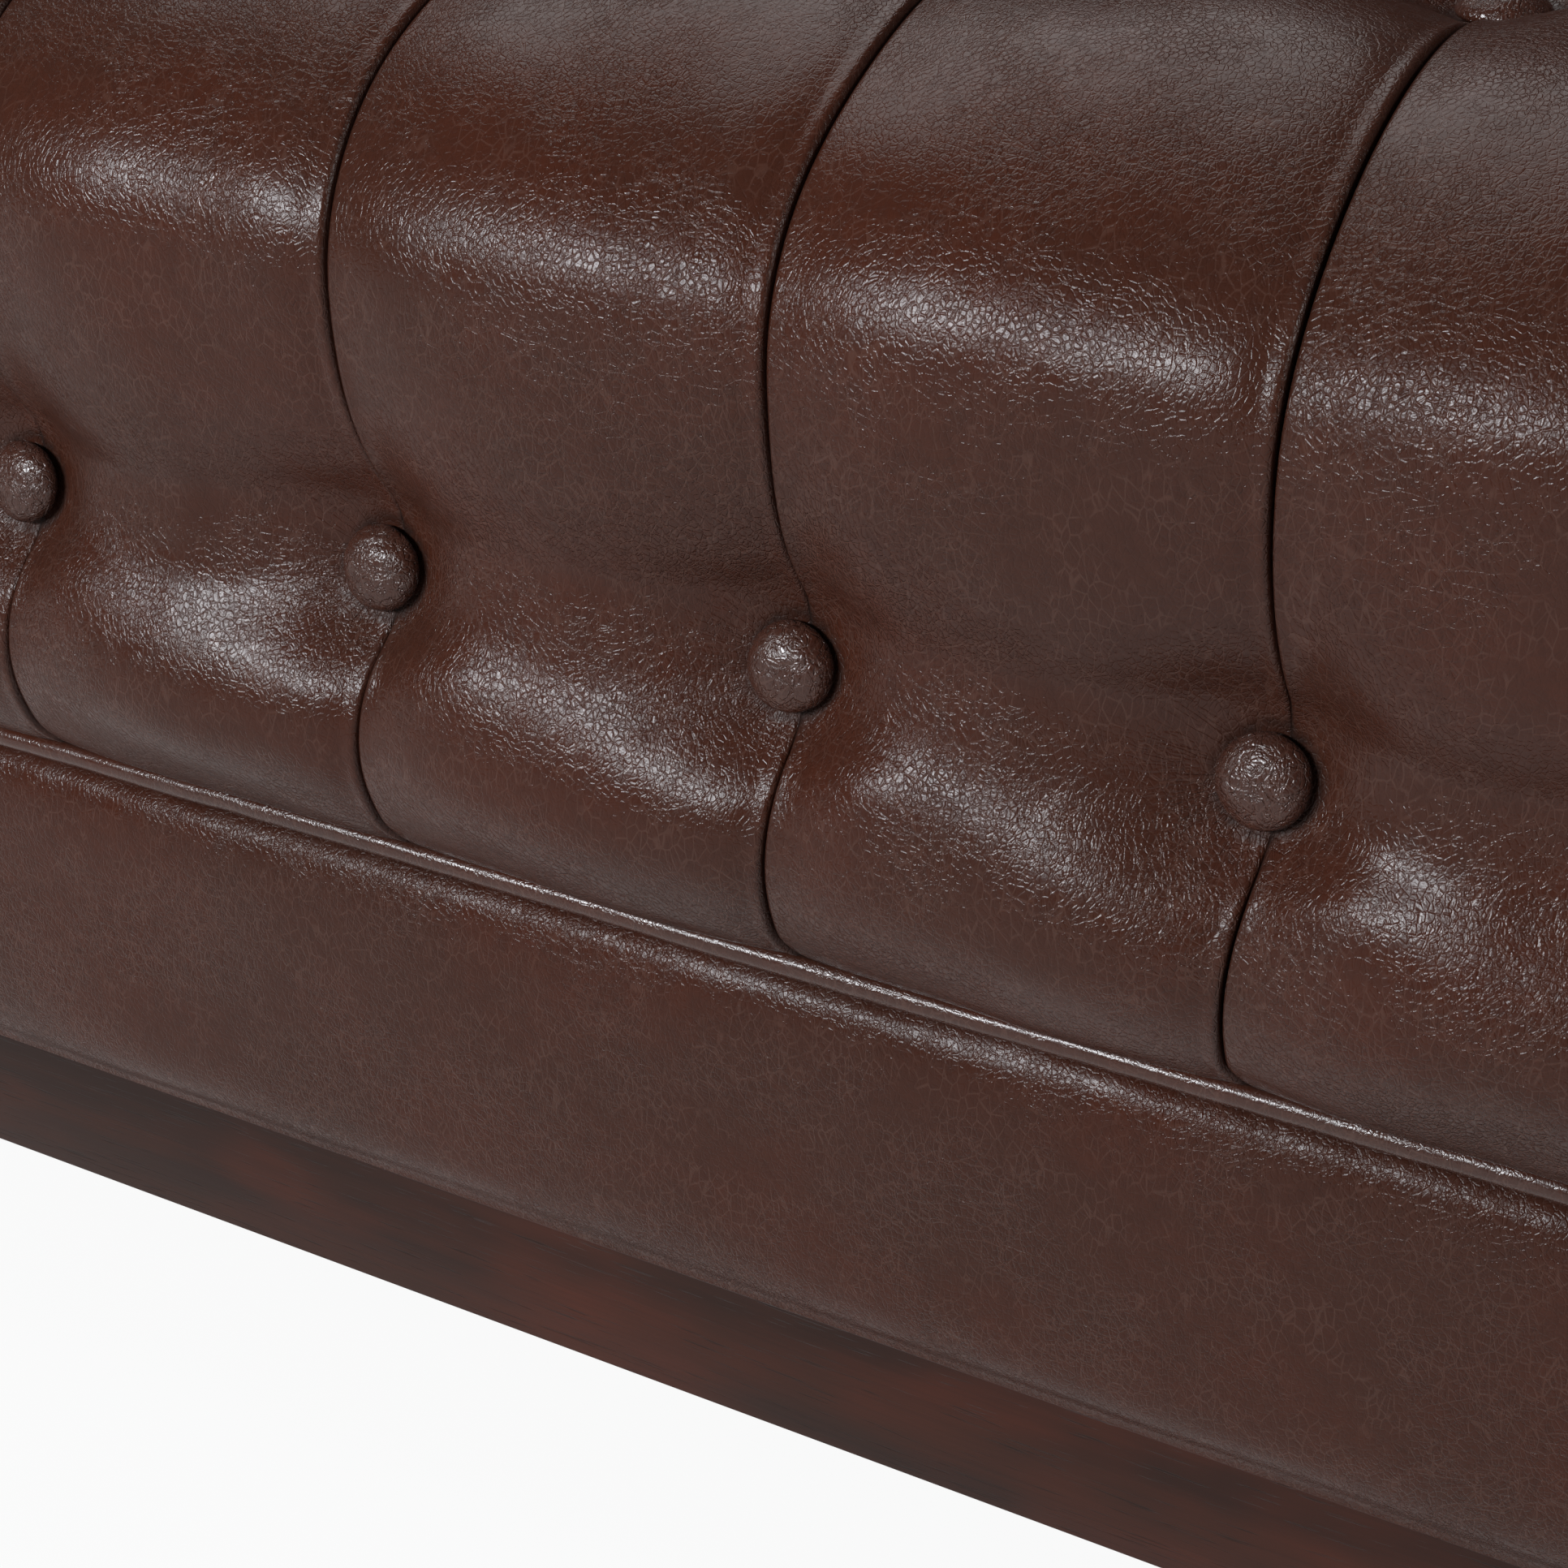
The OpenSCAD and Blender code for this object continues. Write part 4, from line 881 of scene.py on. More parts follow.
class SofaSizes(bpy.types.PropertyGroup):
    """Sizes of the tufting and trim."""

    seat_crown: length("Seat crown", "Rise of a seat channel over its pleats", 0.0095, 0.005, 0.03)
    wall_crown: length("Arm and back crown", "Rise of an arm or back channel over its pleats", 0.010, 0.005, 0.03)
    fold_depth: length("Fold depth", "Depth of the groove under a pleat's lip", 0.001, 0.0, 0.006)
    lip_height: length("Lip height", "Height of the panel at its pleat's lip", 0.0005, 0.0, 0.008)
    lip_ridge: length("Lip ridge", "Height of the narrow ridge along a pleat's lip", 0.0004, 0.0, 0.003)
    fold_shift: length("Fold shift", "How far a pleat passes to the right of its button", 0.0035, 0.0, 0.006)
    fold_curl: length("Fold curl", "How far a pleat curls aside at the seam below it", 0.005, 0.0, 0.01)
    tuft_depth: length("Tuft depth", "Depth to which a button is pulled in", 0.006, 0.003, 0.008)
    button_d: length("Button diameter", "Diameter of a covered button", 0.021, 0.016, 0.023)
    button_h: length("Button height", "Height of a covered button's dome", 0.0075, 0.005, 0.01)
    piping_d: length("Piping diameter", "Diameter of the piping cords", 0.007, 0.005, 0.009)
    columns: IntProperty(
        name="Columns", description="Columns of the mesh across one channel", default=44, min=12, max=60)

    def for_covers(self):
        """What the tufted covers read: the sizes above in millimetres, and the finer ones of their form."""
        own = {key: getattr(self, key) / MM for key in (
            "fold_depth", "lip_height", "lip_ridge", "fold_shift", "fold_curl", "tuft_depth")}
        return SimpleNamespace(
            **own,
            # Reaches of the first and last rise, and unevenness from channel to channel and over the panels
            start_reach=13.0, end_reach=30.0, edge_reach=5.0, uneven_share=0.07, ripple=0.8,
            # The panels' crest, shoulders and least height at their pleats, and their extra fill under the front row
            crest_skew=1.1, left_shoulder=14.0, right_shoulder=9.0, pleat_share=0.5, left_fill=2.5, low_fill=3.5,
            # The valley between two buttons: how far it sags, its reach each way, and the share of the crown left
            valley_sag=4.0, valley_above=32.0, valley_below=20.0, tied_share=0.6,
            # The pleat: how it wanders, where its lip ends beside a button, and how far the leather turns under
            curl_reach=15.0, shift_reach=34.0, wander=0.7, lip_reach=34.0, lap_loss=0.8, lap_gap=7.0, tuck=0.8,
            # The hollow round a button, the flat and dimple in it, and the puckers, crease and ring of painted shade
            # beside it
            hollow_depth=7.0, hollow_left=36.0, hollow_right=18.0, hollow_below=34.0, hollow_above=52.0,
            flat_r=9.5, dimple_reach=10.0, pucker=0.12, crease_depth=0.55, rim_r=10.9, rim_shade=0.85,
        )


class SofaFinish(bpy.types.PropertyGroup):
    """Colours and gloss."""

    leather: color("Leather", "Main colour of the leather", (0.0370, 0.0122, 0.0072))
    leather_warm: color("Warm leather", "Colour of its redder patches", (0.0425, 0.0120, 0.0064))
    leather_deep: color("Deep leather", "Colour of its darker specks", (0.0190, 0.0065, 0.0041))
    leather_vein: color("Leather veins", "Colour of its fine pale creases", (0.13, 0.072, 0.055))
    # Painted shade: the colour put deep in the pleats, along the seams and round the buttons
    crease_shade_color: color("Crease", "Colour deep in the pleats", (0.008, 0.0028, 0.0015))
    leather_rough: share("Leather roughness", "Roughness of the top coat", 0.22, 0.1, 0.9)
    leather_shine: share("Leather shine", "Strength of its reflections", 0.17, 0.0, 1.0)
    wood: color("Wood", "Main colour of the plinth and legs", (0.0285, 0.0100, 0.0061))
    wood_warm: color("Warm wood", "Colour of its redder patches", (0.060, 0.0136, 0.0065))
    wood_dark: color("Dark wood", "Colour of its darker bands", (0.0145, 0.0059, 0.0040))


# Covers


def seat_places():
    """The seat's profile, its rows, and the distances of its button rows."""
    profile = seat_profile()
    ties = [nearest_place(profile, (-4.05, FRONT_ROW))]
    ties += [nearest_place(profile, (row, SEAT_RISE)) for row in TOP_ROWS]
    total = line_lengths(profile)[-1]
    places = stepped_places(total, 2.1, 4.6, [90.0] + ties, [130.0] + [26.0] * len(ties))
    return profile, places, ties


def wall_places():
    """The same for the arms and back."""
    profile = wall_profile()
    total = line_lengths(profile)[-1]
    places = stepped_places(total, 2.6, 4.6, [0.0] + WALL_ROWS, [20.0] + [26.0] * 3)
    return profile, places, WALL_ROWS


def add_cover(node, points, faces, kept, finish):
    """One cover piece with its painted crease shade, pull and gather values."""
    skin = leather_of("tufted_leather", finish)
    piece = new_piece(f"{node}_leather", points, faces, skin, [node], "tufted_leather", crisp=80.0)
    for name, values in kept.items():
        keep_value(piece, name, values)


def leg_middles():
    """The middle of each leg's foot."""
    corners = [box_mm(f"{name}_leg") for name in LEGS]
    return [np.array([(low[0] + high[0]) / 2, (low[1] + high[1]) / 2, 0.0]) for low, high in corners]


def button_shapes(centres, normals, alongs, diameter, height, sectors, rings, seed):
    """Covered buttons: each a dome over a rounded rim, its leather in soft radial creases that fade to the top."""
    radius = diameter / 2
    rise = height * 0.32
    a = np.concatenate([np.radians([-62, -38, -15]), np.linspace(0, math.pi / 2, rings)[:-1]])[:, None]
    r = radius * np.cos(a) ** 0.86
    under = rise + rise / math.sin(math.radians(62)) * np.sin(a)
    h = np.where(a < 0, under, rise + (height - rise) * np.maximum(np.sin(a), 0.0) ** 1.05)
    s = np.arange(sectors)
    turn = (s * 2 * math.pi / sectors)[None, :]
    quads = grid_faces(len(a), sectors, wrap=True)
    last = (len(a) - 1) * sectors
    cap = np.column_stack([last + s, last + (s + 1) % sectors, np.full(sectors, last + sectors)])
    made = np.random.default_rng(seed)
    shapes = []
    for centre, normal, along in zip(centres, normals, alongs):
        phase = made.uniform(0, 6.28, 6)
        creases = sum(np.sin(count * turn + phase[k] + 0.8 * r / radius) / (1 + 0.25 * k)
                      for k, count in enumerate((5, 8, 13, 17)))
        lumps = np.sin(3 * turn + phase[4] + r * 0.5) + np.sin(2 * turn - phase[5] + r)
        push = 0.04 * creases * smooth_step(r / radius, 0.35, 1.0) + 0.09 * lumps * smooth_step(r / radius, 0.05, 0.5)
        push = push * (a > -0.5)
        ring_r = r + np.cos(a) * push
        ring_h = h + np.sin(np.maximum(a, 0)) * push
        shape = (
            centre
            + along * (ring_r * np.cos(turn))[:, :, None]
            + np.cross(normal, along) * (ring_r * np.sin(turn))[:, :, None]
            + normal * ring_h[:, :, None]
        ).reshape(-1, 3)
        top = centre + normal * (height - 0.02)
        shapes.append((np.vstack([shape, top[None, :]]), [quads, s[::-1][None, :], cap]))
    return joined(shapes)


def button_seats(chords, tuft_depth):
    """For each pair of points beside a row: the middle of their chord, sunk by the tuft depth, and its normal."""
    seats = []
    for low, high in chords:
        low, high = np.asarray(low, float), np.asarray(high, float)
        way = unit(high - low)
        normal = np.array([-way[1], way[0]])
        seats.append(((low + high) / 2 + normal * (GAP - tuft_depth), normal))
    return seats


def rows_of_buttons(seats, channels, pitch, seed):
    """Centres, normals and along directions of the buttons at each fold of each row, with a little wander in each."""
    made = np.random.default_rng(seed)
    centres, normals, alongs = [], [], []
    for seat, normal in seats:
        for c in range(1, channels):
            tilt = made.normal(0, 0.035, 2)
            n = unit(np.array([tilt[0], normal[0], normal[1]]))
            spin = made.uniform(0, 6.28)
            across = unit(np.cross(n, [1.0, 0, 0]))
            first = np.cross(across, n)
            centres.append(np.array([c * pitch, seat[0], seat[1]]))
            normals.append(n)
            alongs.append(first * math.cos(spin) + across * math.sin(spin))
    return centres, normals, alongs


def wall_chords():
    """Profile points on either side of each button row of the arms and back."""
    profile = wall_profile()
    return [at_lengths(profile, np.array([row - TUFT_FLAT, row + TUFT_FLAT])) for row in WALL_ROWS]


# Operators: one for each piece or group of like pieces


class SofaOperator(bpy.types.Operator):
    """What all the operators share."""

    bl_options = {"REGISTER", "UNDO"}


class SOFA_OT_seat_cover(SofaOperator):
    """Make the tufted leather cover of the seat, from the welt over the front roll to the inside of the back"""

    bl_idname = "sofa.seat_cover"
    bl_label = "Seat cover"

    def execute(self, context):
        sizes, finish = context.scene.sofa_sizes, context.scene.sofa_finish
        profile, places, ties = seat_places()
        pitch = (HALF_INSIDE - GAP) * 2 / SEAT_CHANNELS
        points, faces, kept = tufted_cover(
            profile, places, ties, SEAT_CHANNELS, pitch, sizes.columns, sizes.seat_crown / MM, (0, 0), 11,
            sizes.for_covers(), lower=0.6)
        points, faces = on_seat(points, faces)
        add_cover("seat_cover", points + np.array([GAP, 0, 0]), faces, kept, finish)
        return {"FINISHED"}


class SOFA_OT_wall_covers(SofaOperator):
    """Make the tufted leather covers of the back and both arms, mitred together at the corners"""

    bl_idname = "sofa.wall_covers"
    bl_label = "Arm and back covers"

    def execute(self, context):
        sizes, finish = context.scene.sofa_sizes, context.scene.sofa_finish
        profile, places, ties = wall_places()
        crown, form = sizes.wall_crown / MM, sizes.for_covers()
        columns = max(12, sizes.columns * 3 // 4)
        points, faces, kept = tufted_cover(
            profile, places, ties, SEAT_CHANNELS, PITCH, columns, crown, (1, 1), 23, form)
        add_cover("back_cover", *on_back(points, faces), kept, finish)
        pitch = ARM_PITCH - GAP / ARM_CHANNELS
        for seed, side in zip((31, 37), SIDES):
            points, faces, kept = tufted_cover(
                profile, places, ties, ARM_CHANNELS, pitch, columns, crown, (0, 1), seed, form)
            add_cover(f"{side}_arm_cover", *on_arm(side, points, faces), kept, finish)
        return {"FINISHED"}


class SOFA_OT_buttons(SofaOperator):
    """Make the leather-covered buttons of the seat, back and arms"""

    bl_idname = "sofa.buttons"
    bl_label = "Covered buttons"

    def execute(self, context):
        sizes, finish = context.scene.sofa_sizes, context.scene.sofa_finish
        depth, width, height = sizes.tuft_depth / MM, sizes.button_d / MM, sizes.button_h / MM
        skin = leather_of("button_leather", finish)
        low, high = FRONT_ROW - TUFT_FLAT, FRONT_ROW + TUFT_FLAT
        chords = [((lower_front(low), low), (upper_front(high), high))]
        front = rows_of_buttons(button_seats(chords, depth), SEAT_CHANNELS, PITCH, 3)
        caps = on_seat(*button_shapes(*front, width, height, 44, 14, 5))
        new_piece("seat_front_button_caps", *caps, skin, ["seat_front_buttons"], "button_leather")
        chords = [((row - TUFT_FLAT, SEAT_RISE), (row + TUFT_FLAT, SEAT_RISE)) for row in TOP_ROWS]
        top = rows_of_buttons(button_seats(chords, depth), SEAT_CHANNELS, PITCH, 7)
        caps = on_seat(*button_shapes(*top, width, height, 26, 9, 9))
        new_piece("seat_top_button_caps", *caps, skin, ["seat_top_buttons"], "button_leather")
        seats = button_seats(wall_chords(), depth)
        rows = rows_of_buttons(seats, SEAT_CHANNELS, PITCH, 13)
        caps = on_back(*button_shapes(*rows, width, height, 26, 9, 15))
        new_piece("back_button_caps", *caps, skin, ["back_buttons"], "button_leather")
        for seed, side in zip((17, 19), SIDES):
            rows = rows_of_buttons(seats, ARM_CHANNELS, ARM_PITCH, seed)
            caps = on_arm(side, *button_shapes(*rows, width, height, 26, 9, seed))
            new_piece(f"{side}_arm_button_caps", *caps, skin, [f"{side}_arm_buttons"], "button_leather")
        return {"FINISHED"}


class SOFA_OT_front_piping(SofaOperator):
    """Make the piping cord along the front welt, with its sewn tape"""

    bl_idname = "sofa.front_piping"
    bl_label = "Front piping"

    def execute(self, context):
        sizes, finish = context.scene.sofa_sizes, context.scene.sofa_finish
        radius = sizes.piping_d / 2 / MM
        x = np.linspace(-HALF_INSIDE + GAP, HALF_INSIDE - GAP, 620)
        sides = 22
        turn = np.arange(sides)[None, :] * 2 * math.pi / sides
        path = np.column_stack([x, WELT_Y - radius / 2 + 0.3 * unevenness(x, 0 * x, 41, 60, 240),
                                WELT_Z + 0.3 * unevenness(x, 0 * x, 43, 50, 200)])
        swell = 1 + 0.02 * unevenness(x[:, None], turn * 12, 47, 9, 34)
        swell = swell + 0.012 * unevenness(x[:, None], turn, 53, 5, 14)
        cord = tube(path, (0, 1, 0), radius, sides, swell)
        tape_width = 11.6
        tape = board((x[0], WELT_Y, WELT_Z - 0.5), (x[-1], WELT_Y + tape_width, WELT_Z + 0.5), 0, 0.4, steps=2)
        points, faces = joined([cord, tape])
        piece = new_piece("front_piping_cord", points, faces, leather_of("piping_leather", finish), ["front_piping"],
                          "smooth_leather")
        # Painted shade where the cord turns in against the cover above and the rail below
        away = np.arctan2(points[:, 2] - WELT_Z, WELT_Y - radius / 2 - points[:, 1])
        keep_value(piece, "fold", smooth_step(np.abs(away), math.radians(52), math.radians(88)))
        return {"FINISHED"}


class SOFA_OT_front_rail_cover(SofaOperator):
    """Make the padded leather cover of the front rail, full down to the plinth and gathered a little at the piping"""

    bl_idname = "sofa.front_rail_cover"
    bl_label = "Front rail cover"

    def execute(self, context):
        finish = context.scene.sofa_finish
        low, high = box_mm("front_rail_cover")
        height = high[2] - low[2]
        x = np.linspace(low[0], high[0], 640)
        s = 0.5 - 0.5 * np.cos(np.linspace(0, math.pi, 64))
        s = np.linspace(0, 1, 64) * 0.45 + s * 0.55
        # Height of the face over its back, as in the CAD part: 6 + 12 sqrt(1 - |2s - 1|^6), with a rounder top edge
        belly = 6 + 12 * np.sqrt(np.clip(1 - np.abs(2 * s - 1) ** 6, 0, 1))
        # At the bottom it fills out to the face of the plinth
        belly = np.where(s < 0.5, np.maximum(belly, high[1] - WELT_Y + 0.5), belly)
        face = np.column_stack([-belly, s * height])
        face = softened(face, 0.8, 1.6)
        face = at_lengths(face, np.linspace(0, line_lengths(face)[-1], 64))
        normal = outward_of(face)
        z = face[:, 1][:, None]
        near_top = smooth_step(z, height - 20, height - 2)
        waves = 0.35 * unevenness(x[None, :], z, 61, 60, 260)
        waves = waves + 0.3 * near_top * unevenness(x[None, :] + 0 * z, 0 * z, 67, 12, 40)
        waves = waves * smooth_step(z, 0, 6) * smooth_step(height - z, 0, 5)
        out, up = raised(face, normal, waves)
        outer = np.stack(np.broadcast_arrays(x[None, :], high[1] + out, low[2] + up), axis=-1)
        back = np.column_stack([np.full(64, high[1]), low[2] + np.linspace(0, height, 64)])
        left = np.column_stack([np.full(64, x[0]), back])
        right = np.column_stack([np.full(64, x[-1]), back])
        points, faces = closed_sheet(outer, left, right)
        piece = new_piece("front_rail_leather", points, faces, leather_of("smooth_leather", finish),
                          ["front_rail_cover"], "smooth_leather")
        # Painted shade along the top edge, under the piping
        keep_value(piece, "fold", bell(high[2] - points[:, 2], 2.0))
        return {"FINISHED"}


class SOFA_OT_plinth(SofaOperator):
    """Make the dark wood plinth boards with eased edges"""

    bl_idname = "sofa.plinth"
    bl_label = "Plinth"

    def execute(self, context):
        finish = context.scene.sofa_finish
        stained = material("dark_wood", dark_wood, finish)
        across = material("dark_wood_sides", dark_wood, finish, (0.0, 0.0, math.pi / 2))
        boards = (("front", 0, stained), ("rear", 0, stained), ("left", 1, across), ("right", 1, across))
        for side, along, grain in boards:
            shape = board(*box_mm(f"{side}_plinth_rail"), along, 0.7)
            new_piece(f"{side}_plinth_board", *shape, grain, [f"{side}_plinth_rail"], "dark_wood")
        return {"FINISHED"}


class SOFA_OT_legs(SofaOperator):
    """Make the turned legs with their screw holes, and the nylon glides under them"""

    bl_idname = "sofa.legs"
    bl_label = "Legs and glides"

    def execute(self, context):
        finish = context.scene.sofa_finish
        upright = material("dark_wood_legs", dark_wood, finish, (0.0, math.pi / 2, 0.0))
        # Radius and height of a leg: an eased foot, a straight taper with a fine groove, and the bolt's hole on top
        turned = [
            (16.4, 4.0), (17.4, 4.3), (18.0, 5.0), (18.2, 6.4), (19.6, 20.0), (21.2, 35.0), (22.8, 50.0), (24.3, 65.0),
            (25.3, 74.4), (25.2, 75.2), (24.5, 75.8), (24.5, 76.5), (25.4, 77.2), (25.7, 78.0), (26.4, 84.0),
            (26.8, 88.6), (26.6, 89.6), (26.0, 90.0), (4.3, 90.0), (4.2, 89.6), (4.2, 50.0),
        ]
        glide = [(13.2, 0.0), (14.4, 0.3), (15.0, 1.1), (15.0, 3.0), (14.6, 3.8), (13.8, 4.0)]
        places = leg_middles()
        for name, place in zip(LEGS, places):
            new_piece(f"{name}_turned_leg", *lathe(turned, 72, place), upright, [f"{name}_leg"], "dark_wood")
        nylon = material("nylon", moulded)
        new_piece("nylon_glides", *repeated(lathe(glide, 48), places), nylon, ["leg_glides"], "nylon")
        return {"FINISHED"}


class SOFA_OT_arm_facings(SofaOperator):
    """Make the padded leather scroll boards on the fronts of the arms, and the piping round each"""

    bl_idname = "sofa.arm_facings"
    bl_label = "Arm facings"

    def execute(self, context):
        sizes, finish = context.scene.sofa_sizes, context.scene.sofa_finish
        low, high = box_mm("left_arm_facing")
        front, back, bottom = low[1] - ARM_START, high[1] - ARM_START, low[2]
        inset, cord_inset, cord_proud = 7.9, 3.8, 4.1
        outline = scroll_outline(inset, bottom)
        # Rows at even heights, then by the sine of an angle up the roll, so that they follow its round top
        rise = np.concatenate([[0, 0.5, 1.3, 2.4, 3.8, 5.6, 7.8], np.linspace(10.5, ROLL_CENTRE[1] - bottom, 74)])
        round_top = (ROLL_R - inset) * np.sin(np.radians(np.linspace(3, 87.5, 34)))
        rows = np.concatenate([bottom + rise, ROLL_CENTRE[1] + round_top])
        crown = np.argmax(outline[:, 1])
        inner = np.interp(rows, outline[:crown + 1, 1], outline[:crown + 1, 0])
        outer = np.interp(rows, outline[:crown - 1:-1, 1], outline[:crown - 1:-1, 0])
        s = 0.5 + 0.5 * np.tanh(2.3 * np.linspace(-1, 1, 54)) / math.tanh(2.3)
        out = outer[:, None] + (inner - outer)[:, None] * s[None, :]
        up = np.broadcast_to(rows[:, None], out.shape)
        distance = distance_to_line(np.stack([out, up], axis=-1), np.vstack([outline, outline[:1]]))
        skin, trim = leather_of("smooth_leather", finish), leather_of("piping_leather", finish)
        for seed, side in zip((71, 73), SIDES):
            stand = 1.6 * (1 - np.exp(-distance / 26.0)) - eased(distance, 10.0)
            stand = stand + 0.45 * unevenness(out, up, seed, 50, 150) * smooth_step(distance, 0, 14)
            stand = stand + 0.22 * unevenness(out, up, seed + 1, 12, 34) * bell(distance - 9, 6)
            face = np.stack([front - stand, out, up], axis=-1)
            rear = np.stack([np.full(out.shape, back), out, up], axis=-1)
            cord_line = softened(scroll_outline(cord_inset, bottom), 1.0, 2.5)[::2]
            length = line_lengths(cord_line)
            sway = 0.2 * unevenness(length, 0 * length, seed + 4, 40, 160)
            cord_path = np.column_stack([sway - cord_proud, cord_line])
            swell = 1 + 0.02 * unevenness(length[:, None], np.arange(14)[None, :] * 5.0, seed + 5, 9, 34)
            cord = on_arm(side, *tube(cord_path, (1, 0, 0), sizes.piping_d / 2 / MM, 14, swell))
            pad = on_arm(side, *slab(face, rear))
            piece = new_piece(f"{side}_facing_leather", *pad, skin, [f"{side}_arm_facing"], "smooth_leather")
            new_piece(f"{side}_facing_piping_cord", *cord, trim, [f"{side}_facing_piping"], "smooth_leather")
        return {"FINISHED"}


def outside_panel(start, end, seed):
    """A leather panel over a board, in a wall's own axes: a slab with eased edges, a little proud in the middle."""
    low, high = box_mm("outside_back_panel")
    height = high[2] - low[2]
    edge = np.array([0, 0.4, 1.0, 1.8, 3.0, 5.0])
    rows = low[2] + np.concatenate([edge, np.linspace(8, height - 8, 52), height - edge[::-1]])
    along = np.concatenate([end - edge, np.linspace(end - 9, start + 9, int((end - start) / 9)), start + edge[::-1]])
    x, z = np.meshgrid(along, rows)
    distance = np.minimum(np.minimum(x - start, end - x), np.minimum(z - rows[0], rows[-1] - z))
    stand = 0.9 * (1 - np.exp(-distance / 60.0)) - eased(distance, 2.0)
    stand = stand + 0.5 * unevenness(x, z, seed, 90, 320) * smooth_step(distance, 0, 30)
    stand = stand + 0.2 * unevenness(x, 0 * z, seed + 1, 22, 60) * bell(rows[-1] - z, 24) * smooth_step(distance, 0, 6)
    face = np.stack([x, PANEL_OUT - 0.2 + stand, z], axis=-1)
    rear = np.stack([x, np.full(x.shape, PANEL_OUT - 3.0), z], axis=-1)
    return slab(face, rear)


class SOFA_OT_outside_panels(SofaOperator):
    """Make the smooth leather panels on the outside of the back and arms"""

    bl_idname = "sofa.outside_panels"
    bl_label = "Outside panels"

    def execute(self, context):
        finish = context.scene.sofa_finish
        skin = leather_of("smooth_leather", finish)
        low, high = box_mm("outside_back_panel")
        panel = on_back(*outside_panel(low[0] + HALF_INSIDE, high[0] + HALF_INSIDE, 81))
        back = new_piece("outside_back_leather", *panel, skin, ["outside_back_panel"], "smooth_leather")
        for seed, side in zip((83, 85), SIDES):
            low, high = box_mm(f"{side}_outside_arm_panel")
            panel = on_arm(side, *outside_panel(low[1] - ARM_START, high[1] - ARM_START, seed))
            arm = new_piece(f"{side}_outside_arm_leather", *panel, skin, [f"{side}_outside_arm_panel"],
                            "smooth_leather")
        return {"FINISHED"}


def pierced_cloth(low, high, spacing, holes, radius, sag):
    """A cloth with a round hole at each place: a grid whose points near a hole move to its rim, sunk by up to sag."""
    steps = [int(round((high[k] - low[k]) / spacing)) + 1 for k in (0, 1)]
    x, y = np.meshgrid(np.linspace(low[0], high[0], steps[0]), np.linspace(high[1], low[1], steps[1]))
    edge = np.minimum(np.minimum(x - low[0], high[0] - x), np.minimum(y - low[1], high[1] - y))
    fall = sag * smooth_step(edge, 0, 130)
    cut = np.zeros(x.shape, bool)
    for place in holes:
        r = np.hypot(x - place[0], y - place[1])
        near = r < radius + spacing / 2
        grow = np.where(near, radius / np.maximum(r, 0.01), 1.0)
        x, y = place[0] + (x - place[0]) * grow, place[1] + (y - place[1]) * grow
        cut |= near
        fall = fall * smooth_step(r, radius, radius + 160)
    faces = grid_faces(*x.shape)
    faces = faces[~cut.ravel()[faces].all(axis=1)]
    used, faces = np.unique(faces, return_inverse=True)
    faces = faces.reshape(-1, 4)
    fall = fall + 0.25 * unevenness(x, y, 91, 60, 240) * smooth_step(edge, 0, 40) * (sag > 0)
    under = np.stack([x, y, low[2] - fall], axis=-1).reshape(-1, 3)[used]
    over = under + np.array([0, 0, high[2] - low[2]])
    return closed_between(under, over, faces)


class SOFA_OT_cloths(SofaOperator):
    """Make the dust cover under the frame, with a hole for each leg, and the deck cloth over the springs"""

    bl_idname = "sofa.cloths"
    bl_label = "Dust cover and deck cloth"

    def execute(self, context):
        low, high = box_mm("dust_cover")
        hole_r = 27.3
        black = material("dust_cloth", felted, (0.02, 0.02, 0.021), (0.008, 0.008, 0.008))
        dust = new_piece("dust_cover_cloth", *pierced_cloth(low, high, 9.0, leg_middles(), hole_r, 2.5), black,
                         ["dust_cover"], "dust_cloth")
        low, high = box_mm("deck_cloth")
        jute = material("hessian", woven, (0.42, 0.3, 0.15), (0.2, 0.13, 0.06), 2100.0)
        deck = new_piece("deck_hessian", *pierced_cloth(low, high, 24.0, [], 0.0, 0.0), jute, ["deck_cloth"], "hessian")
        return {"FINISHED"}


def carried(outline, start, end, seed):
    """A closed body: an outline [out, up] carried along X from start to end, each a share of out and a place."""
    first = start[0] * outline[:, 0] + start[1]
    last = end[0] * outline[:, 0] + end[1]
    count = int((last - first).max() / 55) + 2
    s = np.linspace(0, 1, count)[:, None]
    x = first[None, :] + (last - first)[None, :] * s
    y = outline[None, :, 0] + 0.12 * unevenness(x, outline[None, :, 1], seed, 80, 260)
    z = np.broadcast_to(outline[None, :, 1], x.shape)
    return np.stack([x, y, z], axis=-1).reshape(-1, 3), ring_faces(count, len(outline))


def inner_line(profile, end, count):
    """The profile's inner side, under the leather and its wadding, from its start to end."""
    places = np.linspace(0, end, count)
    return at_lengths(profile, places) - at_lengths_by(profile, outward_of(profile), places) * (PAD + GAP)


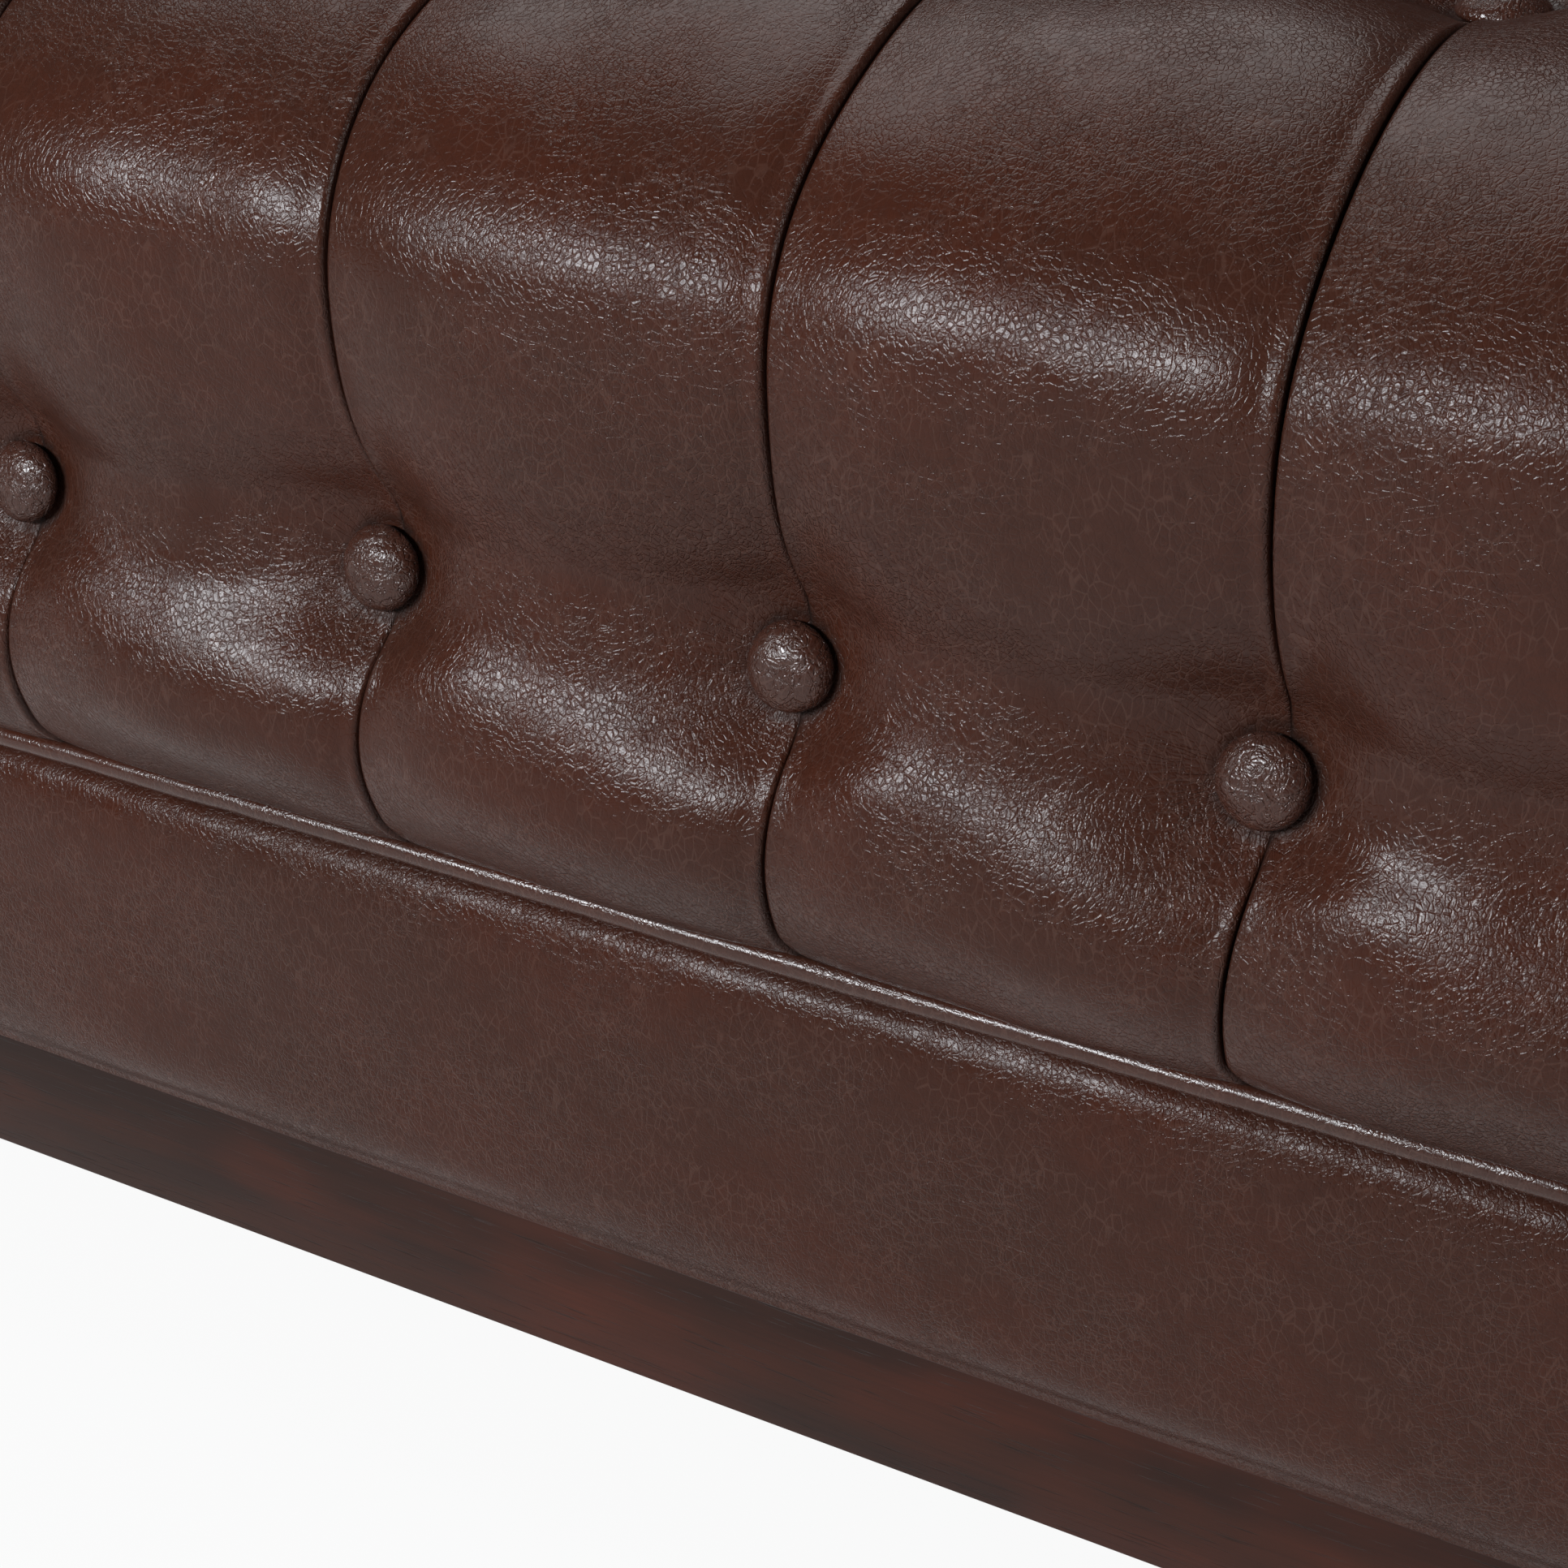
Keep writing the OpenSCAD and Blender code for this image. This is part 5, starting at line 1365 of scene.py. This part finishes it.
class SOFA_OT_foams(SofaOperator):
    """Make the foam of the seat, back and arms under the leather, and the twines that pull the seat's buttons down"""

    bl_idname = "sofa.foams"
    bl_label = "Foam and twines"

    def execute(self, context):
        foam = material("foam", cellular)
        low, high = box_mm("seat_foam")
        profile = seat_profile()
        line = inner_line(profile, line_lengths(profile)[-1], 150)
        line[-1, 0] = high[1] - WELT_Y
        outline = np.vstack([line, [high[1] - WELT_Y, low[2] - WELT_Z], [line[0, 0], low[2] - WELT_Z]])
        block = on_seat(*carried(outline, (0, GAP), (0, HALF_INSIDE * 2 - GAP), 93))
        seat = new_piece("seat_foam_block", *block, foam, ["seat_foam"], "foam")

        # The wall foam follows the leather's inner side, and its back is notched round the top rail
        low, high = box_mm("back_top_rail")
        rail_out = high[1] - BACK_Y + GAP
        strap_in = box_mm("back_webbing")[0][1] - BACK_Y - GAP
        floor = box_mm("back_foam")[0][2]
        profile = wall_profile()
        last_tuft = WALL_ROWS[-1] + TUFT_FLAT
        line = inner_line(profile, last_tuft + (line_lengths(profile)[-1] - last_tuft) * 5 / 6, 120)
        outline = np.vstack([
            line, [rail_out, low[2] + GAP], [rail_out, high[2] + GAP], [strap_in, high[2] + GAP],
            [strap_in, floor], [GAP * 2, floor], [GAP * 2, SEAT_TOP + GAP - 6.0],
        ])
        block = on_back(*carried(outline, (-1, 0), (1, HALF_INSIDE * 2), 95))
        back = new_piece("back_foam_block", *block, foam, ["back_foam"], "foam")
        for seed, side in zip((97, 99), SIDES):
            start = box_mm(f"{side}_arm_foam")[0][1] - ARM_START
            block = on_arm(side, *carried(outline, (0, start), (1, BACK_Y - ARM_START - GAP), seed))
            arm = new_piece(f"{side}_arm_foam_block", *block, foam, [f"{side}_arm_foam"], "foam")

        low, high = box_mm("button_twines")
        z = np.linspace(low[2], high[2], 13)
        turn = np.arange(6)[None, :] * math.pi / 3
        swell = 1 + 0.08 * np.sin(3 * turn + np.arange(13)[:, None] * 1.9)
        strand = tube(np.column_stack([0 * z, 0 * z, z]), (1, 0, 0), 0.92, 6, swell)
        places = [(c * PITCH - HALF_INSIDE, WELT_Y + row, 0) for c in range(1, SEAT_CHANNELS) for row in TOP_ROWS]
        new_piece("button_twine_strands", *repeated(strand, places), material("twine", twisted), ["button_twines"],
                  "twine")
        return {"FINISHED"}


class SOFA_OT_webbing(SofaOperator):
    """Make the woven straps between the top and tuck rails of the back and arms"""

    bl_idname = "sofa.webbing"
    bl_label = "Webbing"

    def execute(self, context):
        strap_cloth = material("webbing", woven, (0.36, 0.27, 0.14), (0.16, 0.1, 0.05), 2600.0)
        low, high = box_mm("back_webbing")
        near, far = low[1] - BACK_Y, high[1] - BACK_Y
        strap = board((-25, near, low[2]), (25, far, high[2]), 2, 1.0)
        straps = repeated(strap, [(c * PITCH, 0, 0) for c in range(1, SEAT_CHANNELS, 2)])
        new_piece("back_webbing_straps", *on_back(*straps), strap_cloth, ["back_webbing"], "hessian")
        straps = repeated(strap, [(c * ARM_PITCH, 0, 0) for c in range(1, ARM_CHANNELS)])
        for side in SIDES:
            new_piece(f"{side}_arm_webbing_straps", *on_arm(side, *straps), strap_cloth, [f"{side}_arm_webbing"],
                      "hessian")
        return {"FINISHED"}


class SOFA_OT_inner_finishes(SofaOperator):
    """Give the frame, springs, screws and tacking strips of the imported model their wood, steel and board"""

    bl_idname = "sofa.inner_finishes"
    bl_label = "Frame finishes"

    def execute(self, context):
        steel, board_pulp = material("steel", drawn_steel), material("board", pressed_board)
        along_x = material("frame_wood", plain_wood)
        along_y = material("frame_wood_sides", plain_wood, (0.0, 0.0, math.pi / 2))
        upright = material("frame_wood_posts", plain_wood, (0.0, math.pi / 2, 0.0))
        finishes = {
            along_x: ["corner_blocks", "front_seat_rail", "rear_seat_rail", "back_top_rail", "back_tuck_rail"],
            along_y: ["centre_stretcher", "left_seat_rail", "right_seat_rail"] + [
                f"{side}_arm_{rail}_rail" for side in SIDES for rail in ("top", "tuck")],
            upright: ["back_posts", "left_arm_posts", "right_arm_posts"],
            steel: ["leg_bolts", "seat_springs", "spring_clips", "frame_screws"],
            board_pulp: ["tacking_strips"],
        }
        for finish, nodes in finishes.items():
            for node in nodes:
                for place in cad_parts[node].material_slots:
                    place.material = finish
        return {"FINISHED"}


def pull_strip(start, end, seed):
    """A thin strip in a wall's own axes, from its start to its end, that hangs from the cover's lower edge."""
    hem = 262.5
    x, z = np.meshgrid(np.linspace(start, end, int((end - start) / 12)), np.linspace(hem, SEAT_TOP + 0.1, 40))
    face = np.stack([x, 0.12 + 0.05 * unevenness(x, z, seed, 40, 120), z], axis=-1)
    return slab(face, face + np.array([0, 0.35, 0]))


class SOFA_OT_pull_strips(SofaOperator):
    """Make the leather strips that carry the arm and back covers on down behind the edges of the seat"""

    bl_idname = "sofa.pull_strips"
    bl_label = "Pull strips"

    def execute(self, context):
        finish = context.scene.sofa_finish
        skin = leather_of("smooth_leather", finish)
        shape = on_back(*pull_strip(0.5, HALF_INSIDE * 2 - 0.5, 101))
        new_piece("back_pull_leather", *shape, skin, [], "smooth_leather")
        for seed, side in zip((103, 105), SIDES):
            shape = on_arm(side, *pull_strip(0.0, BACK_Y - ARM_START - 0.5, seed))
            new_piece(f"{side}_arm_pull_leather", *shape, skin, [], "smooth_leather")
        return {"FINISHED"}


def standing(side, up, back, place):
    """The matrix of an object with these unit axes at this place."""
    return Matrix([[side[k], up[k], back[k], place[k]] for k in range(3)] + [[0, 0, 0, 1]])


def studio_lamp(name, target, way, distance, size, energy, color=(1.0, 1.0, 1.0)):
    """A rectangular lamp that shines at the target from the given direction."""
    data = bpy.data.lights.new(name, "AREA")
    data.shape = "RECTANGLE"
    data.size, data.size_y = size
    data.energy = energy
    data.color = color
    back = unit(np.asarray(way, float))
    side = unit(np.cross([0, 0, 1.0], back))
    place = np.asarray(target) + back * distance
    linked(name, data).matrix_world = standing(side, np.cross(back, side), back, place)


class SOFA_OT_stage(SofaOperator):
    """Make the camera at the photograph's angle, the lamps, the world and the white floor"""

    bl_idname = "sofa.stage"
    bl_label = "Stage"

    def execute(self, context):
        # Turn, tilt, roll, lens and place as fitted to the photograph
        yaw, pitch, roll = math.radians(28.10), math.radians(29.66), math.radians(-0.12)
        ahead = np.array([-math.sin(yaw) * math.cos(pitch), math.cos(yaw) * math.cos(pitch), -math.sin(pitch)])
        side = np.array([math.cos(yaw), math.sin(yaw), 0.0])
        up = np.cross(side, ahead)
        side, up = side * math.cos(roll) + up * math.sin(roll), up * math.cos(roll) - side * math.sin(roll)
        data = bpy.data.cameras.new("camera")
        data.sensor_width = 36.0
        data.lens = 63.43
        data.clip_start, data.clip_end = 0.02, 60.0
        camera = linked("camera", data)
        camera.matrix_world = standing(side, up, -ahead, (0.3653, WELT_Y * MM - 0.482, 0.5964))
        bpy.context.scene.camera = camera
        bpy.context.scene.view_settings.view_transform = "Standard"

        front = (0.05, -0.38, 0.32)
        studio_lamp("key_lamp", front, (-0.32, -0.85, 0.42), 2.1, (1.2, 0.24), 54.0, (0.93, 0.96, 1.0))
        studio_lamp("soft_lamp", front, (-0.32, -0.85, 0.42), 2.3, (1.9, 0.85), 10.0)
        studio_lamp("side_lamp", front, (0.97, -0.1, 0.42), 2.3, (0.3, 0.7), 14.0)
        # Its reflection lies as a pale veil on the seat top
        studio_lamp("top_lamp", (0, -0.1, 0.45), (-0.4, 0.4, 0.82), 2.5, (2.2, 1.6), 27.0)
        studio_lamp("rear_lamp", (0, 0.3, 0.35), (0.3, 0.95, 0.34), 2.4, (2.2, 0.8), 40.0)

        world = bpy.data.worlds.new("studio")
        world.use_nodes = True
        sky = world.node_tree.nodes["Background"].inputs
        sky["Color"].default_value, sky["Strength"].default_value = (1.0, 1.0, 1.0, 1.0), 0.1
        context.scene.world = world

        g = Graph("white_floor")
        paths = g.add("LightPath").node.outputs
        seen = g.math("MAXIMUM", g.math("MAXIMUM", paths["Is Camera Ray"], paths["Is Glossy Ray"]),
                      paths["Is Transmission Ray"])
        matte = g.add("BsdfDiffuse", {"Color": (0.6, 0.6, 0.6, 1.0)})
        glow = g.add("Emission", {"Color": (1.0, 1.0, 1.0, 1.0), "Strength": 1.0})
        g.add("OutputMaterial", {"Surface": g.add("MixShader", {0: g.times(seen, 0.92), 1: matte, 2: glow})})
        mesh = bpy.data.meshes.new("floor")
        far = 25
        mesh.from_pydata([(-far, -far, 0), (far, -far, 0), (far, far, 0), (-far, far, 0)], [], [(0, 1, 2, 3)])
        floor = linked("floor", mesh)
        mesh.materials.append(g.material)
        return {"FINISHED"}


PIECE_OPERATORS = (
    SOFA_OT_seat_cover, SOFA_OT_wall_covers, SOFA_OT_buttons, SOFA_OT_front_piping, SOFA_OT_front_rail_cover,
    SOFA_OT_plinth, SOFA_OT_legs, SOFA_OT_arm_facings, SOFA_OT_outside_panels, SOFA_OT_cloths, SOFA_OT_foams,
    SOFA_OT_webbing, SOFA_OT_pull_strips, SOFA_OT_inner_finishes, SOFA_OT_stage,
)


class SOFA_PT_pieces(bpy.types.Panel):
    """Lists the operators and the values that they read"""

    bl_label = "Tufted sofa"
    bl_idname = "SOFA_PT_pieces"
    bl_space_type = "VIEW_3D"
    bl_region_type = "UI"
    bl_category = "Tufted sofa"

    def draw(self, context):
        sizes, finish = context.scene.sofa_sizes, context.scene.sofa_finish
        for group in (sizes, finish):
            box = self.layout.box()
            for key in group.__annotations__:
                box.prop(group, key)
        for operator in PIECE_OPERATORS:
            self.layout.operator(operator.bl_idname)


CLASSES = (SofaSizes, SofaFinish, *PIECE_OPERATORS, SOFA_PT_pieces)


def register():
    for cls in CLASSES:
        bpy.utils.register_class(cls)
    bpy.types.Scene.sofa_sizes = PointerProperty(type=SofaSizes)
    bpy.types.Scene.sofa_finish = PointerProperty(type=SofaFinish)


def unregister():
    del bpy.types.Scene.sofa_finish
    del bpy.types.Scene.sofa_sizes
    for cls in reversed(CLASSES):
        bpy.utils.unregister_class(cls)


def main():
    register()
    for operator in PIECE_OPERATORS:
        group, name = operator.bl_idname.split(".")
        getattr(getattr(bpy.ops, group), name)()


if __name__ == "__main__":
    main()
